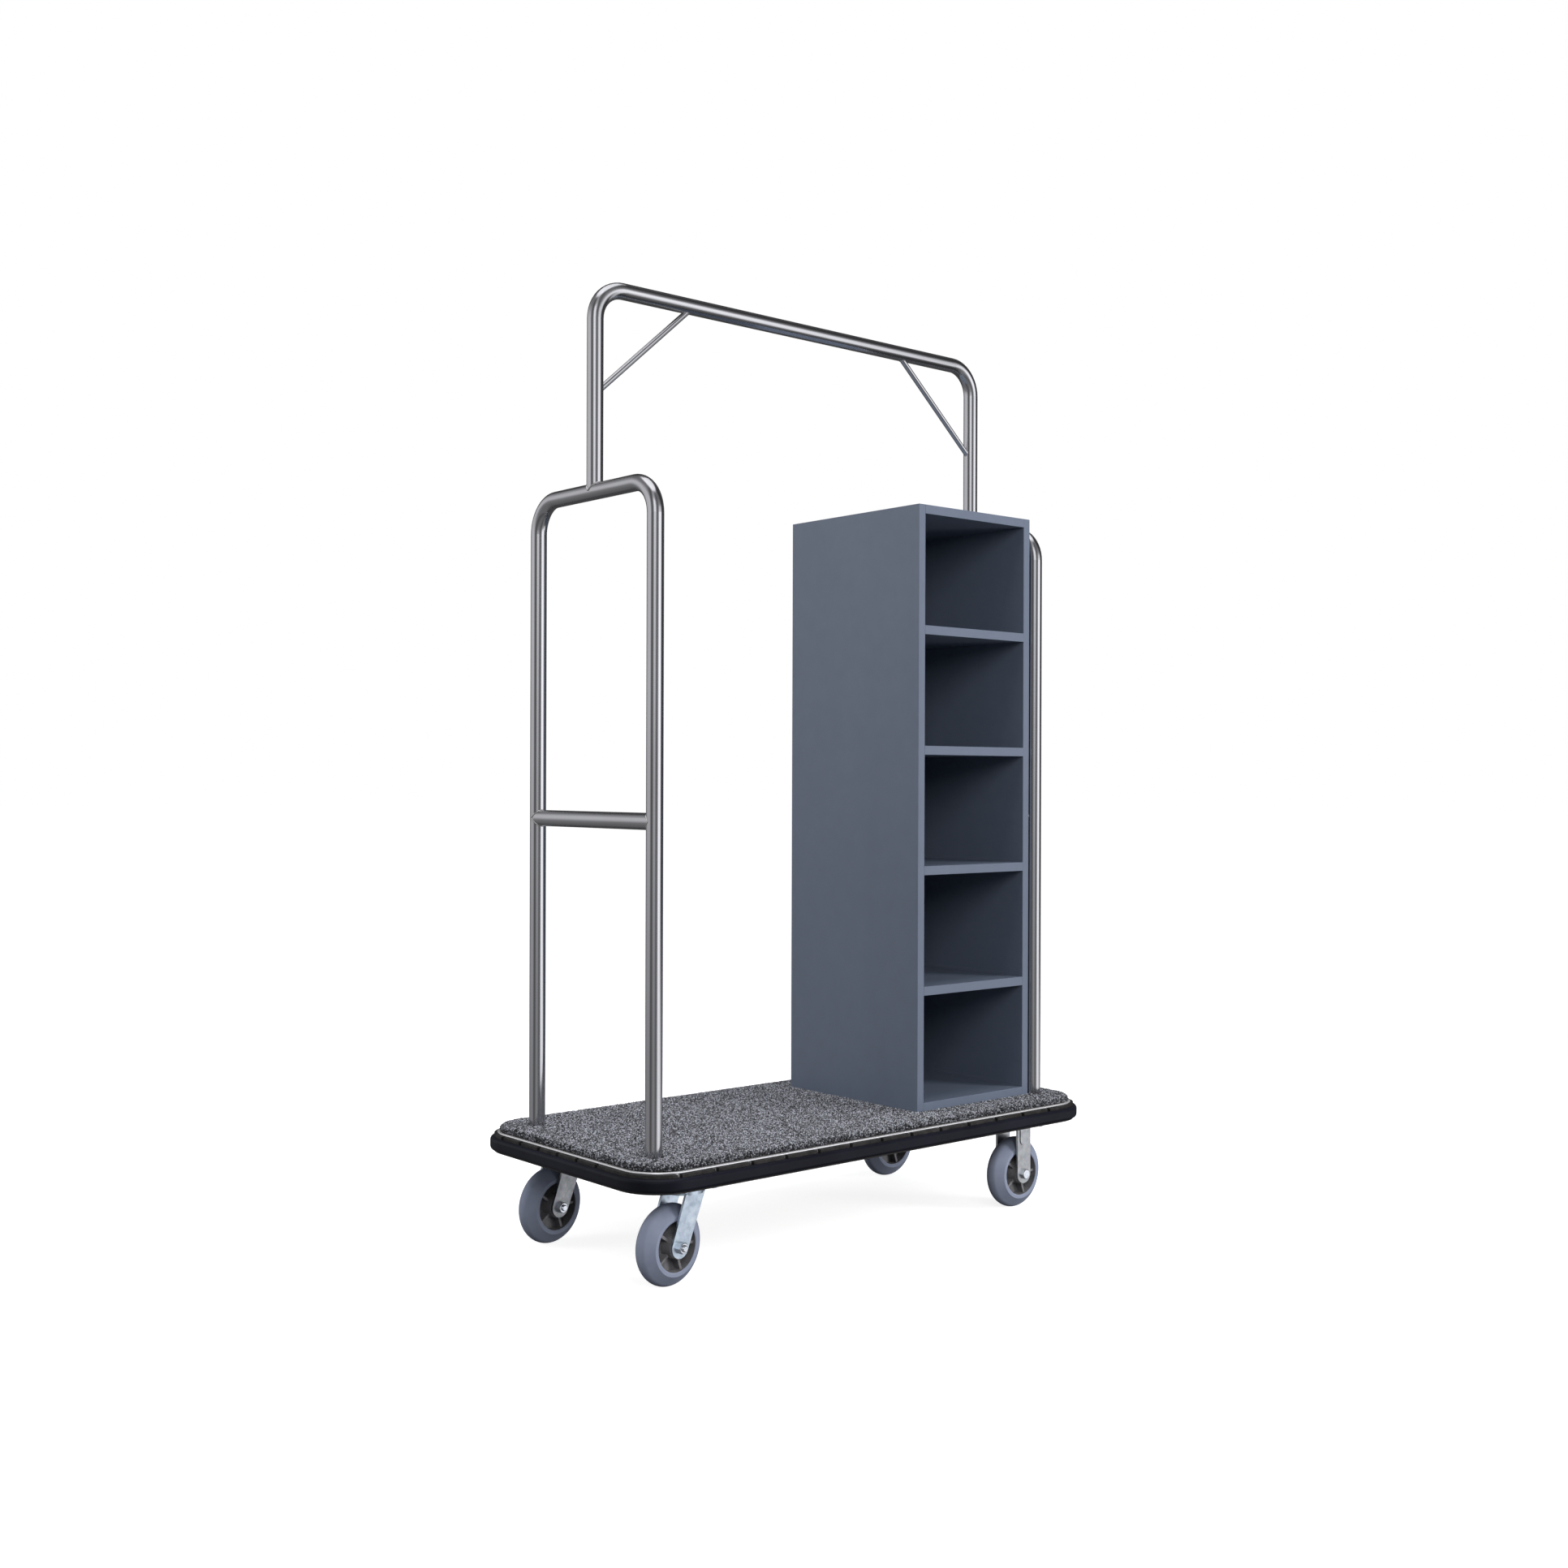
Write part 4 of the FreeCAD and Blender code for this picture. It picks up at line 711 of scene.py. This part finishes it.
def thread_ridge(corner):
    """The last turns of thread on an axle bolt, where it stands out of its nut."""
    bolt = world_points(f"axle_bolt_{corner}")
    nut = world_points(f"axle_nut_{corner}")
    nut_middle = Vector(nut.mean(axis=0))
    axis = nut_middle - Vector(bolt.mean(axis=0))
    axis.z = 0
    axis.normalize()
    root = float((nut @ np.array(axis)).max())
    tip = float((bolt @ np.array(axis)).max())
    centre = nut_middle - axis * nut_middle.dot(axis)
    side = Z.cross(axis)
    turns = (tip - THREAD_END - root) / THREAD_PITCH
    steps = max(8, round(THREAD_STEPS * turns))
    path = []
    for i in range(steps + 1):
        turn = math.tau * turns * i / steps
        path.append(centre + axis * (root + THREAD_START + THREAD_PITCH * turns * i / steps)
                    + (side * math.cos(turn) + Z * math.sin(turn)) * THREAD_RADIUS)
    return bead(f"axle_thread_{corner}", path, THREAD_RIDGE, closed=False, sides=6)


for corner in CORNERS:
    ridge = thread_ridge(corner)
    dress(ridge, FASTENER)
    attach(ridge, f"swivel_{corner}" if corner.endswith("left") else ROOT)


# ---------------------------------------------------------------------------------- camera

YAW = math.radians(40.56)
PITCH = math.radians(-0.1)
ROLL = math.radians(0.19)
SENSOR_WIDTH = 36
FOCAL_LENGTH = 40.28
CAMERA_PLACE = (-2.43415, -2.79619, 0.93122)
forward = Vector((math.sin(YAW) * math.cos(PITCH), math.cos(YAW) * math.cos(PITCH), math.sin(PITCH)))
right = Vector((math.cos(YAW), -math.sin(YAW), 0))
upward = right.cross(forward)
turned_right = right * math.cos(ROLL) + upward * math.sin(ROLL)
turned_up = upward * math.cos(ROLL) - right * math.sin(ROLL)
lens = bpy.data.cameras.new("camera")
lens.sensor_width = SENSOR_WIDTH
lens.lens = FOCAL_LENGTH
camera = bpy.data.objects.new("camera", lens)
camera.matrix_world = Matrix((turned_right, turned_up, -forward)).transposed().to_4x4()
camera.location = CAMERA_PLACE
bpy.context.scene.collection.objects.link(camera)
bpy.context.scene.camera = camera


# ------------------------------------------------------------------------- floor and lights

BACKDROP = (1.0, 1.0, 1.0)
FLOOR_RADIUS = 60.0
FLOOR_GLOW = 0.84               # the floor's own light near the cart
FLOOR_FADE = (1.6, 3.6)         # distances over which the floor turns into plain backdrop


def studio_floor():
    """White seamless floor that runs out into the white backdrop; it bounces little light."""
    s = Shader("studio_floor", Roughness=0.8, Specular_IOR_Level=0.1)
    direct = s.add("ShaderNodeLightPath").outputs["Is Camera Ray"]
    fade = s.span(s.vector_math("LENGTH", s.place).outputs["Value"], 0.0, 1.0, *FLOOR_FADE)
    speck = s.ramp(s.noise(3, 2), (0.3, 0.44), (0.7, 0.46))
    near = s.mix(direct, (0.12, 0.12, 0.125), speck)
    s.feed("Base Color", s.mix(s.math("MULTIPLY", fade, direct), near, (0, 0, 0)))
    s.feed("Emission Color", (*BACKDROP, 1))
    s.feed("Emission Strength", s.math("MULTIPLY", direct, s.span(fade, FLOOR_GLOW, 1.0)))
    return s.material


def disc(name, radius, z, sides=96):
    verts = [(radius * math.cos(math.tau * k / sides), radius * math.sin(math.tau * k / sides), z)
             for k in range(sides)]
    return mesh_object(name, verts, [tuple(range(sides))], smooth=False)


floor = disc("floor", FLOOR_RADIUS, cad_box[0][2])
dress(floor, studio_floor())
floor.visible_glossy = False


def area_light(name, place, target, width, height, watts):
    """A soft box; reflections come from the studio world instead."""
    data = bpy.data.lights.new(name, "AREA")
    data.shape = "RECTANGLE"
    data.size, data.size_y = width, height
    data.energy = watts
    lamp = bpy.data.objects.new(name, data)
    lamp.location = place
    lamp.rotation_euler = (Vector(target) - Vector(place)).to_track_quat("-Z", "Y").to_euler()
    lamp.visible_glossy = False
    bpy.context.scene.collection.objects.link(lamp)


towards_camera = Vector((-math.sin(YAW), -math.cos(YAW), 0))
chest = Vector((0, 0, 1.0))
area_light("right_strip", chest + right * 3.6 + towards_camera * 0.7 + Vector((0, 0, 0.6)),
           chest, 1.0, 3.0, 130)
area_light("left_box", chest - right * 3.4 + towards_camera * 0.6 + Vector((0, 0, 1.0)),
           chest, 1.4, 2.4, 46)
area_light("front_box", chest + towards_camera * 3.6 + right * 0.9 + Vector((0, 0, 1.3)),
           chest, 2.4, 1.6, 72)
area_light("top_box", (0, 0, 4.2), (0, 0, 0), 3.4, 2.4, 110)


def studio_world():
    """White to the eye; in reflections a dim studio with soft strips at both sides and overhead."""
    world = bpy.data.worlds.new("studio")
    bpy.context.scene.world = world
    world.use_nodes = True
    n = Nodes(world.node_tree)
    direction = n.add("ShaderNodeTexCoord").outputs["Generated"]
    sideways, frontwards, upwards = (n.vector_math("DOT_PRODUCT", direction, axis).outputs["Value"]
                                     for axis in (right, towards_camera, Z))
    degrees = 180 / math.pi
    bearing = n.math("MULTIPLY", n.math("ARCTAN2", sideways, frontwards), degrees)
    rise = n.math("MULTIPLY", n.math("ARCSINE", upwards), degrees)

    def spread(angle, least, most, stops):
        """Colours or greys at angles from least to most, with soft steps between them."""
        places = [((stop - least) / (most - least), colour) for stop, colour in stops]
        return n.ramp(n.span(angle, 0.0, 1.0, least, most), *places, blend="EASE")

    studio = spread(bearing, -180, 180, (
        (-180, 0.08), (-150, 0.08), (-125, 0.16), (-100, 0.20), (-60, 0.20), (-40, 0.12), (-28, 0.15),
        (20, 0.19), (34, 0.16), (60, 0.20), (92, 0.10), (104, 0.04), (120, 0.06), (150, 0.10), (180, 0.08)))
    # each box of light: its strength, then its share at bearings and at rises
    boxes = (
        # left
        (0.64, ((-140, 0), (-122, 0.75), (-100, 0.85), (-88, 0.8), (-76, 1), (-62, 0.75), (-50, 0.15),
                (-42, 0)),
         ((-30, 0.03), (-12, 0.15), (-5, 0.45), (1, 0.8), (6, 1), (20, 1), (30, 0.5), (42, 0.12),
          (90, 0.05))),
        # middle
        (1.20, ((-32, 0), (-21, 0.22), (-12, 0.85), (-2, 1), (7, 0.75), (17, 0.15), (25, 0)),
         ((-30, 0.06), (-8, 0.14), (0, 0.35), (5, 0.6), (12, 1), (30, 1), (45, 0.3), (90, 0.1))),
        # right
        (1.50, ((37, 0), (48, 0.5), (58, 0.95), (70, 1), (80, 0.85), (88, 0.42), (97, 0.05), (103, 0)),
         ((-35, 0.05), (-20, 0.2), (-10, 0.65), (-3, 0.95), (2, 1), (10, 0.95), (18, 0.5), (27, 0.12),
          (40, 0.03), (90, 0))),
        # low at the right
        (0.60, ((70, 0), (84, 1), (112, 1), (132, 0)), ((-26, 0), (-19, 1), (-10, 1), (-4, 0), (90, 0))),
        # ceiling
        (1.25, ((-179, 1), (179, 1)), ((56, 0), (68, 1), (90, 1))),
    )
    for strength, across, up_down in boxes:
        box = n.math("MULTIPLY", spread(bearing, -180, 180, ((-180, 0),) + across + ((180, 0),)),
                     spread(rise, -90, 90, ((-90, 0),) + up_down))
        studio = n.math("ADD", studio, n.math("MULTIPLY", box, strength))
    reflected = n.vector_math("MULTIPLY", studio, (0.99, 1.0, 1.045)).outputs[0]
    ambient = spread(rise, -90, 90, ((-90, (0.20, 0.20, 0.21)), (0, (0.25, 0.25, 0.26)),
                                     (90, (0.40, 0.41, 0.43))))
    path = n.add("ShaderNodeLightPath")
    unseen = n.mix(path.outputs["Is Glossy Ray"], ambient, reflected)
    background = world.node_tree.nodes["Background"]
    n.put(background.inputs["Color"], n.mix(path.outputs["Is Camera Ray"], unseen, BACKDROP))


studio_world()
bpy.context.scene.view_settings.view_transform = "Standard"
